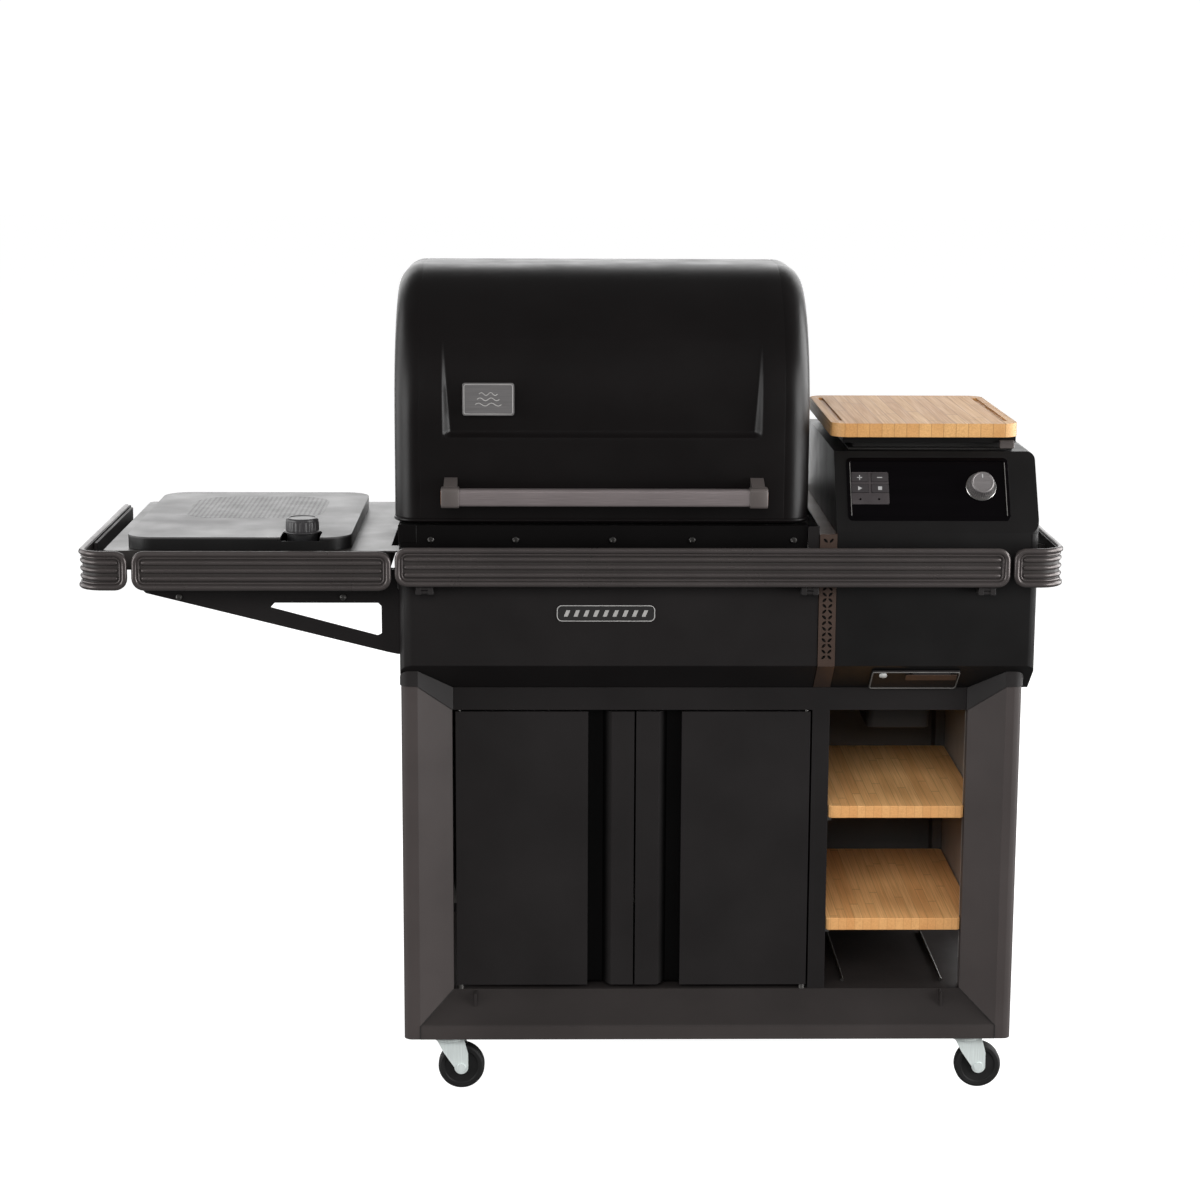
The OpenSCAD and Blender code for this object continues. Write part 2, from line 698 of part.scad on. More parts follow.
module hopper_shell() {
    color([0.08, 0.08, 0.08]) difference() {
        union() {
            body_block(band_right, body_right, crease_z, 0, 0, 14);
            hopper_upper(0);
        }
        body_block(band_right, body_right, crease_z + 0.1, wall, 0, 12);
        hopper_upper(wall);
        // Pass between the lower and upper halves
        block([band_right + wall, body_front + 30, crease_z - 20], [body_right - 8,
            body_back - wall - 1, crease_z + 20]);
        rod_x(band_right - 5, band_right + 10, auger_y, auger_z, 27);
        block([437, -188, hopper_top - 10], [680, 153, hopper_top + 1]);
        on_slope() block([panel_left + 2, 22, -12], [panel_left + panel_w - 2, 121, 5]);
        // Clean-out opening in the sloped underside
        translate([0, door_front, body_bottom]) rotate([180 - under_angle, 0, 0])
            block([478, 10, -10], [592, 58, 10]);
        // Inlet opening at the back
        block([590, body_back - 8, 745], [618, body_back + 1, 765]);
        block([500, auger_y - 40, body_bottom - 5], [560, auger_y + 60, body_bottom + 10]);
    }
}

// Solid funnel moved inwards by g.
module funnel(g) {
    intersection() {
        along_y(-190, 160) polygon([[440 + g, 1040 + g], [440 + g, 930], [535 + g, 790 - g], [605 - g,
            790 - g],
            [677 - g, 930], [677 - g, 1040 + g]]);
        along_x(430, 700) polygon([[-184 + g, 1040 + g], [-184 + g, 930], [-12 + g, 790 - g], [32 - g,
            790 - g],
            [149 - g, 930], [149 - g, 1040 + g]]);
    }
}

module hopper_bin() {
    color([0.35, 0.35, 0.35]) difference() {
        union() {
            funnel(0);
            block([430, -196, hopper_top], [686, 161, hopper_top + 3]);
        }
        funnel(2);
    }
}

module hopper_lid() {
    color([0.1, 0.1, 0.1]) difference() {
        block([420, -205, 1042], [690, 184, 1056.5]);
        block([423, -202, 1041], [687, 181, 1053.5]);
    }
    color([0.1, 0.1, 0.1]) for (x = [470, 640]) difference() {
        union() {
            rod_x(x - 13.5, x + 13.5, hopper_pivot[0], hopper_pivot[1], 6);
            block([x - 13.5, 183, hopper_pivot[1] - 4], [x + 13.5, hopper_pivot[0], hopper_pivot[1] + 6]);
        }
        rod_x(x - 20, x + 20, hopper_pivot[0], hopper_pivot[1], 3.05);
    }
}

module cutting_board() {
    color([0.78, 0.6, 0.38]) difference() {
        along_z(1056.8, 1078) rounded([398, -255], [686, 128], 25);
        // Juice grooves beside the two short edges
        for (x = [414, 670]) {
            block([x - 4, -215, 1074.5], [x + 4, 88, 1080]);
            for (y = [-215, 88]) rod_z(1074.5, 1080, x, y, 4);
        }
    }
}

module control_panel() {
    lo = [panel_left, 20];
    hi = [panel_left + panel_w, 123];
    color([0.03, 0.03, 0.03]) on_slope() difference() {
        union() {
            along_z(-4, -1.5) rounded(lo + [2.5, 2.5], hi - [2.5, 2.5], 6);
            along_z(0, 1.2) rounded(lo - [1, 1], hi + [1, 1], 8);
            along_z(-4, 1) rounded(lo + [2.2, 2.2], hi - [2.2, 2.2], 6);
        }
        along_z(-1.5, 5) rounded(lo + [4, 4], hi - [4, 4], 5);
        block([430.5, 46.5, -6], [489, 100.5, 0]);
        translate([dial_x, dial_s, -6]) cylinder(h = 10, r = 4.1);
    }
}

module keypad() {
    color([0.33, 0.33, 0.34]) on_slope() difference() {
        along_z(-5, -0.2) rounded([430.7, 46.7], [488.8, 100.3], 3);
        for (b = button_spots) block([b[0] - button_size[0] / 2 - 0.4, b[1] - button_size[1] / 2 - 0.4, -3.5],
            [b[0] + button_size[0] / 2 + 0.4, b[1] + button_size[1] / 2 + 0.4, 1]);
        for (x = jack_xs) translate([x, 55, -14]) cylinder(h = 20, r = 1.8);
    }
    // Sockets of the two probe jacks
    color([0.6, 0.6, 0.6]) on_slope() for (x = jack_xs) difference() {
        translate([x, 55, -17]) cylinder(h = 12.01, r = 4.5);
        translate([x, 55, -14]) cylinder(h = 20, r = 1.8);
    }
}

// One travelling key of the keypad.
module key(i) {
    b = button_spots[i];
    color([0.2, 0.2, 0.2]) on_slope() along_z(-2.4, 0.6)
        rounded(b - button_size / 2, b + button_size / 2, 2);
}

module button_1() { key(0); }
module button_2() { key(1); }
module button_3() { key(2); }
module button_4() { key(3); }

module control_dial() {
    color([0.6, 0.6, 0.6]) on_slope() translate([dial_x, dial_s, 0]) {
        translate([0, 0, -1.1]) cylinder(h = 2.6, r = 23.5);
        difference() {
            translate([0, 0, 1]) cylinder(h = 19, r1 = 19.5, r2 = 17.5);
            for (a = [0 : 15 : 345]) rotate(a) translate([19.8, 0, 4]) cylinder(h = 20, r = 1.2);
        }
        translate([0, 0, -16]) cylinder(h = 17, r = 4);
    }
}

module on_underside() {
    translate([0, door_front, body_bottom]) rotate([180 - under_angle, 0, 0]) children();
}

module cleanout_door() {
    color([0.1, 0.1, 0.1]) on_underside() {
        along_z(1, 4) rounded([466, 4], [604, 64], 4);
        block([530, 46, 3.5], [588, 62, 9]);
    }
}

module power_inlet() {
    color([0.06, 0.06, 0.06]) difference() {
        union() {
            block([584, body_back, 738], [624, body_back + 2.5, 772]);
            block([590.5, body_back - 22, 745.5], [617.5, body_back + 1, 764.5]);
        }
        block([593, body_back - 17, 748], [615, body_back + 3, 762]);
    }
    color([0.6, 0.6, 0.6]) for (x = [599, 604, 609])
        block([x - 0.8, body_back - 19, 752], [x + 0.8, body_back - 5, 757]);
}

// Auger tube with its feed slot, and the gear motor at its right end.
module auger_drive() {
    color([0.4, 0.4, 0.4]) {
        difference() {
            rod_x(pot_x + 56, 640, auger_y, auger_z, 26);
            rod_x(pot_x + 50, 632, auger_y, auger_z, 23);
            block([537, auger_y - 22, auger_z + 10], [603, auger_y + 22, auger_z + 30]);
            rod_x(630, 645, auger_y, auger_z, 8.05);
        }
        difference() {
            block([541, auger_y - 19.8, auger_z + 12], [599, auger_y + 19.8, 789.9]);
            block([543, auger_y - 17.8, auger_z], [597, auger_y + 17.8, 791]);
            rod_x(530, 610, auger_y, auger_z, 24);
        }
        difference() {
            block([640, auger_y - 35, auger_z - 35], [690, auger_y + 35, auger_z + 35]);
            rod_x(639, 672, auger_y, auger_z, 8.05);
        }
        block([655, auger_y - 20, body_bottom + wall], [680, auger_y + 20, auger_z - 34]);
    }
}

module auger() {
    first = pot_x + 70;
    last = 628;
    turns = 12;
    color([0.5, 0.5, 0.5]) {
        rod_x(first, 670, auger_y, auger_z, 8);
        translate([first, auger_y, auger_z]) rotate([0, 90, 0])
            linear_extrude(last - first, twist = -360 * turns, slices = 12 * turns, segments = 4)
                translate([0, -2]) square([21, 4]);
    }
}

module fan_housing() {
    color([0.2, 0.2, 0.2]) {
        difference() {
            translate([500, fan_y, body_bottom + wall]) cylinder(h = 50, r = 55);
            translate([500, fan_y, body_bottom + wall + 3]) cylinder(h = 44, r = 51);
            translate([500, fan_y, body_bottom + wall + 40]) cylinder(h = 20, r = 32);
        }
        rod_z(body_bottom + wall, body_bottom + wall + 12, 500, fan_y, 14);
        rod_z(body_bottom + wall, body_bottom + wall + 40, 500, fan_y, 3);
    }
}

module fan_impeller() {
    color([0.25, 0.25, 0.25]) translate([500, fan_y, body_bottom + wall + 13]) difference() {
        union() {
            cylinder(h = 2, r = 44);
            cylinder(h = 20, r = 9);
            for (a = [0 : 30 : 330]) rotate(a) translate([30, 0, 1]) rotate(25)
                block([-8, -1, 0], [14, 1, 24]);
        }
        translate([0, 0, -1]) cylinder(h = 30, r = 3.05);
    }
}

module grease_keg() {
    color([0.15, 0.15, 0.15]) difference() {
        along_z(560, 640) rounded([482, -95], [584, 105], 14);
        along_z(563, 641) rounded([485, -92], [581, 102], 11);
    }
    color([0.5, 0.5, 0.5]) for (x = [482, 584]) block([x - 6, -80, 637], [x + 6, 90, 640]);
}

// ---- Side shelf ----

module side_shelf() {
    right = body_left - 14;
    color([0.6, 0.6, 0.58]) {
        difference() {
            along_z(shelf_top - 30, shelf_top) rounded([shelf_left, shelf_front], [right, shelf_back], 12);
            along_z(shelf_top - 31, shelf_top - 2.5) rounded([shelf_left + 2.5, shelf_front + 2.5],
                [right - 2.5, shelf_back - 2.5], 10);
            block([-668, -235, shelf_top - 5], [-362, 180, shelf_top + 1]);
        }
        // Front and back tongues that bolt to the body
        block([right - 6, shelf_front, shelf_top - 2.5], [body_left, shelf_front + 50, shelf_top]);
        block([right - 6, shelf_back - 50, shelf_top - 2.5], [body_left, shelf_back, shelf_top]);
        block([body_left - 2.5, shelf_front, shelf_top - 60], [body_left, shelf_front + 50, shelf_top - 2]);
        block([body_left - 2.5, shelf_back - 50, shelf_top - 60], [body_left, shelf_back, shelf_top - 2]);
    }
}

// Glass hob with its coil and under-pan.
module burner_unit() {
    color([0.04, 0.04, 0.05]) {
        difference() {
            along_z(shelf_top, shelf_top + 4) rounded([-678, -248], [-353, 190], 16);
            rod_z(shelf_top - 1, shelf_top + 5, knob_x, knob_y, 5);
        }
        difference() {
            block([-667, -234, shelf_top - 45], [-363, 179, shelf_top + 0.01]);
            block([-665, -232, shelf_top - 43], [-365, 177, shelf_top - 2]);
            rod_z(shelf_top - 3, shelf_top + 5, knob_x, knob_y, 5);
        }
    }
    color([0.6, 0.35, 0.2]) translate([-530, 10, shelf_top - 12]) for (r = [30 : 15 : 105])
        rotate_extrude() translate([r, 0]) square([10, 10]);
}

module burner_cover() {
    z0 = shelf_top + 0.6;
    z1 = shelf_top + 21;
    color([0.65, 0.65, 0.64]) difference() {
        along_z(z0, z1) rounded([-688, shelf_front], [-342, 205], 42);
        along_z(z0 - 1, z1 - 2) rounded([-686, shelf_front + 2], [-344, 203], 40);
        rod_z(z0 - 1, z1 + 1, knob_x, knob_y, 36);
        block([knob_x - 36, shelf_front - 1, z1 - 6], [knob_x + 36, knob_y, z1 + 1]);
        for (i = [0 : 22]) block([-634 + i * 10, -50, z1 - 3], [-631 + i * 10, 155, z1 + 1]);
    }
}

module burner_knob() {
    color([0.08, 0.08, 0.08]) translate([knob_x, knob_y, shelf_top]) {
        translate([0, 0, 4.6]) cylinder(h = 18, r = 24);
        translate([0, 0, 22]) cylinder(h = 4, r = 28);
        difference() {
            translate([0, 0, 25]) cylinder(h = 20, r = 25);
            for (a = [0 : 15 : 345]) rotate(a) translate([25.4, 0, 29]) cylinder(h = 20, r = 1.4);
        }
        translate([0, 0, -20]) cylinder(h = 26, r = 4.5);
    }
}

module gussets() {
    outline = [[-668, shelf_top - 30], [-668, 823], [-658, 813], [-285, 720], [-270, 717], [-270,
        shelf_top - 30]];
    hole = [[-466, 791], [-460, 798], [-300, 798], [-295, 793], [-295, 750], [-301, 747]];
    color([0.08, 0.08, 0.08]) for (y = [shelf_front + 2.5, shelf_back - 5]) {
        along_y(y, y + 2.5) difference() {
            polygon(outline);
            polygon(hole);
        }
        block([-270, y, 717], [body_left, y + 26, shelf_top - 61]);
        block([-668, y, shelf_top - 33], [-272, y + 20, shelf_top - 30]);
    }
}

// ---- Rails ----

// Section of a rail: back plate, end beads and three ribs. Depth along x, height along y.
module rail_section() {
    bead = 5;
    rib_pitch = 12.2;
    translate([7, 2]) square([4, rail_h - 4]);
    for (y = [bead, rail_h - bead]) translate([bead + 1, y]) circle(bead);
    for (i = [-1 : 1]) translate([7, rail_h / 2 + i * rib_pitch]) circle(4.4);
}

module straight_rail(x0, x1, top) {
    intersection() {
        translate([0, rail_front - 1, top - rail_h]) along_x(x0, x1) rail_section();
        along_y(rail_front - 1, rail_front + rail_t) rounded([x0, top - rail_h], [x1, top], 20);
    }
    // Closing beads at the two ends
    for (x = [x0 + 5, x1 - 5]) rod_z(top - rail_h + 14, top - 14, x, rail_front + 5.2, 5);
}

module front_rails() {
    color([0.25, 0.24, 0.23]) {
        straight_rail(-271, 670, rail_top);
        straight_rail(-671, -276, rail_top - rail_step);
    }
}

// A rail that turns the front left corner and runs back along the side.
module corner_rail(top, inner_x, back_y) {
    translate([-half_w + rail_bend, rail_front + rail_bend, top - rail_h]) {
        rotate([0, 0, 180]) rotate_extrude(angle = 90) translate([rail_bend + 1, 0]) mirror([1, 0])
            rail_section();
    }
    translate([0, rail_front - 1, top - rail_h]) along_x(-half_w + rail_bend, inner_x) rail_section();
    translate([-half_w - 1, back_y, top - rail_h]) rotate([90, 0, 0])
        linear_extrude(back_y - rail_front - rail_bend) rail_section();
}

module corner_rails() {
    color([0.25, 0.24, 0.23]) {
        corner_rail(rail_top - rail_step, -677, 175);
        mirror([1, 0, 0]) corner_rail(rail_top, -675, 175);
    }
}

// ---- Casters ----

// Yoke of caster i: top plate with a running bore, two tapered arms and the axle.
module fork(i) {
    s = wheel_stems[i];
    arm = [[-20, 86], [24, 86], [31, 60], [31, wheel_r], [9, wheel_r], [-8, 62]];
    color([0.78, 0.8, 0.8]) translate([s[0], s[1], 0]) {
        difference() {
            rod_z(82, 87, 0, 0, 24);
            rod_z(81, 88, 0, 0, 6.05);
        }
        difference() {
            union() for (y = [-wheel_w / 2 - 4.5, wheel_w / 2 + 2]) {
                along_y(y, y + 2.5) polygon(arm);
                rod_y(y, y + 2.5, trail, wheel_r, 11);
            }
            rod_z(81, 90, 0, 0, 6.05);
            rod_z(70, 82, 0, 0, 9.9);
        }
        rod_y(-wheel_w / 2 - 7, wheel_w / 2 + 7, trail, wheel_r, 4);
        for (y = [-wheel_w / 2 - 7.5, wheel_w / 2 + 4.5]) rod_y(y, y + 3, trail, wheel_r, 7);
    }
}

// Wheel of caster i with a rounded tread and recessed hub faces.
module wheel(i) {
    s = wheel_stems[i];
    h = wheel_w / 2;
    color([0.06, 0.06, 0.06]) translate([s[0] + trail, s[1], wheel_r]) rotate([90, 0, 0])
        rotate_extrude($fn = 96)
        polygon([[4.05, -h - 1], [10, -h - 1], [12, -h + 2], [26, -h + 2], [28, -h], [wheel_r - 4, -h],
            [wheel_r - 1, -h + 2], [wheel_r, -h + 6], [wheel_r, h - 6], [wheel_r - 1, h - 2],
                [wheel_r - 4, h],
            [28, h], [26, h - 2], [12, h - 2], [10, h + 1], [4.05, h + 1]]);
}

module fork_1() { fork(0); }
module fork_2() { fork(1); }
module fork_3() { fork(2); }
module fork_4() { fork(3); }
module wheel_1() { wheel(0); }
module wheel_2() { wheel(1); }
module wheel_3() { wheel(2); }
module wheel_4() { wheel(3); }

base_frame();
front_left_leg();
front_right_leg();
rear_posts();
leg_collars();
cabinet_frame();
cabinet_panels();
compartment_rails();
wood_shelves();
left_door();
right_door();
hinge_hardware();
chamber_shell();
front_ledge();
fasteners();
vent_band();
name_plate();
fire_pot();
heat_baffle();
drip_tray();
cooking_grates();
exhaust_duct();
lid_shell();
lid_liner();
lid_badge();
lid_handle();
handle_brackets();
hopper_shell();
hopper_bin();
hopper_lid();
cutting_board();
control_panel();
keypad();
button_1();
button_2();
button_3();
button_4();
control_dial();
cleanout_door();
power_inlet();
auger_drive();
auger();
fan_housing();
fan_impeller();
grease_keg();
side_shelf();
burner_unit();
burner_cover();
burner_knob();
gussets();
front_rails();
corner_rails();
fork_1();
fork_2();
fork_3();
fork_4();
wheel_1();
wheel_2();
wheel_3();
wheel_4();
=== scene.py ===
"""Looks of the pellet smoker grill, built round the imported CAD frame. Metres, +Z up, front faces -Y."""
import json
import math

import bmesh
import bpy
from mathutils import Matrix, Vector


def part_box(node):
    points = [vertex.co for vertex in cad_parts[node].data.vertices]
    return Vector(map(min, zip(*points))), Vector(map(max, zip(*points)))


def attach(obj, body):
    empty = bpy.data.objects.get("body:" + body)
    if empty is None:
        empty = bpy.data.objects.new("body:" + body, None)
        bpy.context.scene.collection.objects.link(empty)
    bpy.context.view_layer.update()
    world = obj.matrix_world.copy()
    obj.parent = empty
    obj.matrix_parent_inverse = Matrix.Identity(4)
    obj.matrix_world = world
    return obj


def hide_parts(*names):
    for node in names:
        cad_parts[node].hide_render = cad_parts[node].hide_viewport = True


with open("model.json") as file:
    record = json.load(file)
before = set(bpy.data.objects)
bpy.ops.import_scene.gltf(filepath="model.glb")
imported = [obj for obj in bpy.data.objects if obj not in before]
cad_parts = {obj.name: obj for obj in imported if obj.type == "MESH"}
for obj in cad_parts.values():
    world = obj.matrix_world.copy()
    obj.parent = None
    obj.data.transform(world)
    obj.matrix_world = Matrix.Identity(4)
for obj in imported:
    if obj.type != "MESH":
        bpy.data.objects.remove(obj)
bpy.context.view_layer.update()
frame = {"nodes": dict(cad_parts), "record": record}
MM = 0.001
BODY_OF = {node: body for body, nodes in frame["record"]["behaviour"]["bodies"].items() for node in nodes}
SLOT_OF = {s["node"]: s["material_slot"] for s in frame["record"]["subparts"]}


# ---------------------------------------------------------------- small helpers

def srgb(r, g, b):
    """Linear colour from 8-bit display values."""
    def lin(v):
        v /= 255
        return v / 12.92 if v <= 0.04045 else ((v + 0.055) / 1.055) ** 2.4
    return (lin(r), lin(g), lin(b), 1.0)


def scaled(colour, k):
    return (colour[0] * k, colour[1] * k, colour[2] * k, 1.0)


def box_mm(node):
    """Low and high corners of a CAD node in millimetres."""
    lo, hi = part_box(node)
    return [v * 1000 for v in lo], [v * 1000 for v in hi]


def add_mesh(name, verts, faces, material, body, slot=None, replaces=(), smooth_angle=30):
    """A mesh piece from points in millimetres, riding on a body."""
    mesh = bpy.data.meshes.new(name)
    mesh.from_pydata([Vector(v) * MM for v in verts], [], faces)
    mesh.validate()
    bm = bmesh.new()
    bm.from_mesh(mesh)
    bmesh.ops.recalc_face_normals(bm, faces=bm.faces)
    bm.to_mesh(mesh)
    bm.free()
    return finish_piece(name, mesh, material, body, slot, replaces, smooth_angle)


def finish_piece(name, mesh, material, body, slot=None, replaces=(), smooth_angle=30):
    mesh.materials.clear()
    mesh.materials.append(material)
    for p in mesh.polygons:
        p.use_smooth = True
    mesh.set_sharp_from_angle(angle=math.radians(smooth_angle))
    piece = bpy.data.objects.new(name, mesh)
    bpy.context.scene.collection.objects.link(piece)
    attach(piece, body)
    if replaces:
        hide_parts(*replaces)
    if slot or replaces:
        slot or SLOT_OF[replaces[0]]
    return piece


def bevel(piece, width, segments=2, angle=32):
    """Rounds the edges of a piece that are sharper than angle; width in millimetres."""
    mod = piece.modifiers.new("edge_round", "BEVEL")
    mod.width = width * MM
    mod.segments = segments
    mod.limit_method = "ANGLE"
    mod.angle_limit = math.radians(angle)
    mod.use_clamp_overlap = True
    mod.harden_normals = True
    return piece


def refine(node, material, width=0.8, segments=2):
    """A cleaned copy of a CAD node with rounded edges, which stands for the node."""
    bm = bmesh.new()
    bm.from_mesh(frame["nodes"][node].data)
    bmesh.ops.remove_doubles(bm, verts=bm.verts, dist=2e-5)
    bmesh.ops.dissolve_limit(bm, angle_limit=math.radians(1.5), verts=bm.verts, edges=bm.edges)
    name = f"{node}_panel"
    mesh = bpy.data.meshes.new(name)
    bm.to_mesh(mesh)
    bm.free()
    piece = finish_piece(name, mesh, material, BODY_OF[node], None, (node,))
    if width:
        bevel(piece, width, segments)
    return piece


def paint(node, material):
    """A new material for a CAD node that stays as it is."""
    data = frame["nodes"][node].data
    data.materials.clear()
    data.materials.append(material)


class Shape:
    """Collects points and faces in millimetres for one piece."""

    def __init__(self):
        self.verts = []
        self.faces = []

    def add(self, verts, faces):
        n = len(self.verts)
        self.verts += [tuple(v) for v in verts]
        self.faces += [[i + n for i in f] for f in faces]

    def grid(self, rows, close_rows=False, close_cols=False):
        """Quads through rows of points."""
        n, m = len(rows), len(rows[0])
        faces = []
        for i in range(n if close_rows else n - 1):
            for j in range(m if close_cols else m - 1):
                a, b = i * m + j, i * m + (j + 1) % m
                c, d = ((i + 1) % n) * m + (j + 1) % m, ((i + 1) % n) * m + j
                faces.append([a, b, c, d])
        self.add([p for row in rows for p in row], faces)

    def loft(self, rings, caps=True):
        """Closed rings joined into a tube, with its ends capped."""
        m = len(rings[0])
        faces = []
        for i in range(len(rings) - 1):
            for j in range(m):
                faces.append([i * m + j, i * m + (j + 1) % m, (i + 1) * m + (j + 1) % m, (i + 1) * m + j])
        if caps:
            faces.append(list(range(m)))
            faces.append([(len(rings) - 1) * m + j for j in range(m)])
        self.add([p for ring in rings for p in ring], faces)

    def block(self, lo, hi):
        (a, b, c), (d, e, f) = lo, hi
        self.add([(a, b, c), (d, b, c), (d, e, c), (a, e, c), (a, b, f), (d, b, f), (d, e, f), (a, e, f)],
                 [[0, 3, 2, 1], [4, 5, 6, 7], [0, 1, 5, 4], [1, 2, 6, 5], [2, 3, 7, 6], [3, 0, 4, 7]])

    def lathe(self, centre, axis, profile, steps=32):
        """Turned solid: profile is (distance along axis, radius) pairs."""
        axis = Vector(axis).normalized()
        u = axis.orthogonal().normalized()
        v = axis.cross(u)
        rings = []
        for h, r in profile:
            rings.append([Vector(centre) + axis * h + (u * math.cos(t) + v * math.sin(t)) * r
                          for t in (2 * math.pi * k / steps for k in range(steps))])
        self.loft(rings)

    def tube(self, path, r, sides=10, closed=False):
        """Round tube along a path of points."""
        pts = [Vector(p) for p in path]
        n = len(pts)
        rings = []
        normal = None
        for i, p in enumerate(pts):
            before = pts[i - 1] if (i or closed) else p
            after = pts[(i + 1) % n] if (i < n - 1 or closed) else p
            t = (after - before).normalized()
            if normal is None:
                normal = t.orthogonal().normalized()
            normal = (normal - t * normal.dot(t)).normalized()
            side = t.cross(normal)
            rings.append([p + (normal * math.cos(a) + side * math.sin(a)) * r
                          for a in (2 * math.pi * k / sides for k in range(sides))])
        if closed:
            self.grid(rings, close_rows=True, close_cols=True)
        else:
            self.loft(rings)

    def prism(self, outline, place):
        """Solid between two copies of a flat outline: place(u, v, side) gives a point for side 0 or 1."""
        n = len(outline)
        low = [place(u, v, 0) for u, v in outline]
        high = [place(u, v, 1) for u, v in outline]
        faces = [[i, (i + 1) % n, n + (i + 1) % n, n + i] for i in range(n)]
        faces += [list(range(n))[::-1], list(range(n, 2 * n))]
        self.add(low + high, faces)

    def piece(self, name, material, body, slot=None, replaces=(), smooth_angle=30):
        return add_mesh(name, self.verts, self.faces, material, body, slot, replaces, smooth_angle)


def round_rect(x0, y0, x1, y1, r, steps=5):
    """Outline of a rectangle with round corners, counter-clockwise."""
    out = []
    corners = ((x1 - r, y0 + r, -90), (x1 - r, y1 - r, 0), (x0 + r, y1 - r, 90), (x0 + r, y0 + r, 180))
    for cx, cy, a0 in corners:
        for k in range(steps + 1):
            a = math.radians(a0 + 90 * k / steps)
            out.append((cx + r * math.cos(a), cy + r * math.sin(a)))
    return out


# ---------------------------------------------------------------- materials

class Nodes:
    """A material whose textures are placed by object coordinates, with a short way to write its nodes."""

    def __init__(self, name):
        self.mat = bpy.data.materials.new(name)
        self.mat.use_nodes = True
        self.tree = self.mat.node_tree
        self.bsdf = self.tree.nodes["Principled BSDF"]
        self.coords = self.new("ShaderNodeTexCoord").outputs["Object"]

    def new(self, kind, **settings):
        node = self.tree.nodes.new(kind)
        for key, value in settings.items():
            setattr(node, key, value)
        return node

    def link(self, a, b):
        self.tree.links.new(a, b)

    def put(self, socket, value):
        if isinstance(value, bpy.types.NodeSocket):
            self.link(value, socket)
        else:
            socket.default_value = value

    def math(self, op, a, b=0.0, c=0.0):
        node = self.new("ShaderNodeMath", operation=op)
        self.put(node.inputs[0], a)
        self.put(node.inputs[1], b)
        self.put(node.inputs[2], c)
        return node.outputs[0]

    def mapped(self, scale=(1, 1, 1), rotation=(0, 0, 0), location=(0, 0, 0)):
        node = self.new("ShaderNodeMapping")
        self.link(self.coords, node.inputs["Vector"])
        node.inputs["Scale"].default_value = scale
        node.inputs["Rotation"].default_value = rotation
        node.inputs["Location"].default_value = location
        return node.outputs[0]

    def noise(self, scale, detail=3.0, vector=None, rough=0.5):
        node = self.new("ShaderNodeTexNoise")
        self.link(vector or self.coords, node.inputs["Vector"])
        node.inputs["Scale"].default_value = scale
        node.inputs["Detail"].default_value = detail
        node.inputs["Roughness"].default_value = rough
        return node.outputs["Fac"]

    def axis(self, which, vector=None):
        node = self.new("ShaderNodeSeparateXYZ")
        self.link(vector or self.coords, node.inputs[0])
        return node.outputs[which]

    def span(self, fac, lo, hi, to_lo=0.0, to_hi=1.0):
        node = self.new("ShaderNodeMapRange")
        self.put(node.inputs["Value"], fac)
        node.inputs["From Min"].default_value = lo
        node.inputs["From Max"].default_value = hi
        node.inputs["To Min"].default_value = to_lo
        node.inputs["To Max"].default_value = to_hi
        return node.outputs[0]

    def mix(self, fac, a, b):
        node = self.new("ShaderNodeMix", data_type="RGBA")
        self.put(node.inputs[0], fac)
        self.put(node.inputs[6], a)
        self.put(node.inputs[7], b)
        return node.outputs[2]

    def bump(self, height, strength, distance, normal=None):
        node = self.new("ShaderNodeBump")
        self.link(height, node.inputs["Height"])
        node.inputs["Strength"].default_value = strength
        node.inputs["Distance"].default_value = distance
        if normal:
            self.link(normal, node.inputs["Normal"])
        return node.outputs[0]

    def set(self, **values):
        for key, value in values.items():
            self.put(self.bsdf.inputs[key.replace("_", " ")], value)
        return self


def coated(name, colour, rough=0.45, grain=900.0, grain_depth=0.00006, specular=0.5, vary=0.18, metallic=0.0,
           coat=0.0, painted_shades=()):
    """Powder coat or enamel: fine orange peel, slow tone drift, dust-soft patches of roughness.

    Each painted_shades entry is (axis, from, to, factor at from, factor at to): it darkens the colour towards
    black along that axis, for painted shade and the edges of painted light; a sixth value is the middle from
    which it counts to both sides.
    """
    n = Nodes(name)
    drift = n.noise(6.0, 4.0)
    speck = n.noise(grain, 2.0)
    tone = n.span(drift, 0.3, 0.7, 0.0, 1.0)
    base = n.mix(tone, scaled(colour, 1 - vary), scaled(colour, 1 + vary))
    fine = n.span(speck, 0.35, 0.65, 0.0, 1.0)
    colour_out = n.mix(n.math("MULTIPLY", fine, 0.22), base, scaled(colour, 1.5))
    for which, start, stop, k_start, k_stop, *middle in painted_shades:
        place = n.axis(which)
        if middle:
            place = n.math("ABSOLUTE", n.math("SUBTRACT", place, middle[0]))
        # painted shade: how far the colour is darkened towards black here
        dark = n.span(place, start, stop, 1 - k_start, 1 - k_stop)
        colour_out = n.mix(dark, colour_out, (0.0, 0.0, 0.0, 1.0))
    smear = n.noise(14.0, 5.0)
    n.set(Base_Color=colour_out, Roughness=n.span(smear, 0.3, 0.7, rough - 0.05, rough + 0.06),
          Metallic=metallic, Specular_IOR_Level=specular, Coat_Weight=coat, Coat_Roughness=0.12,
          Normal=n.bump(speck, 0.5, grain_depth))
    return n.mat


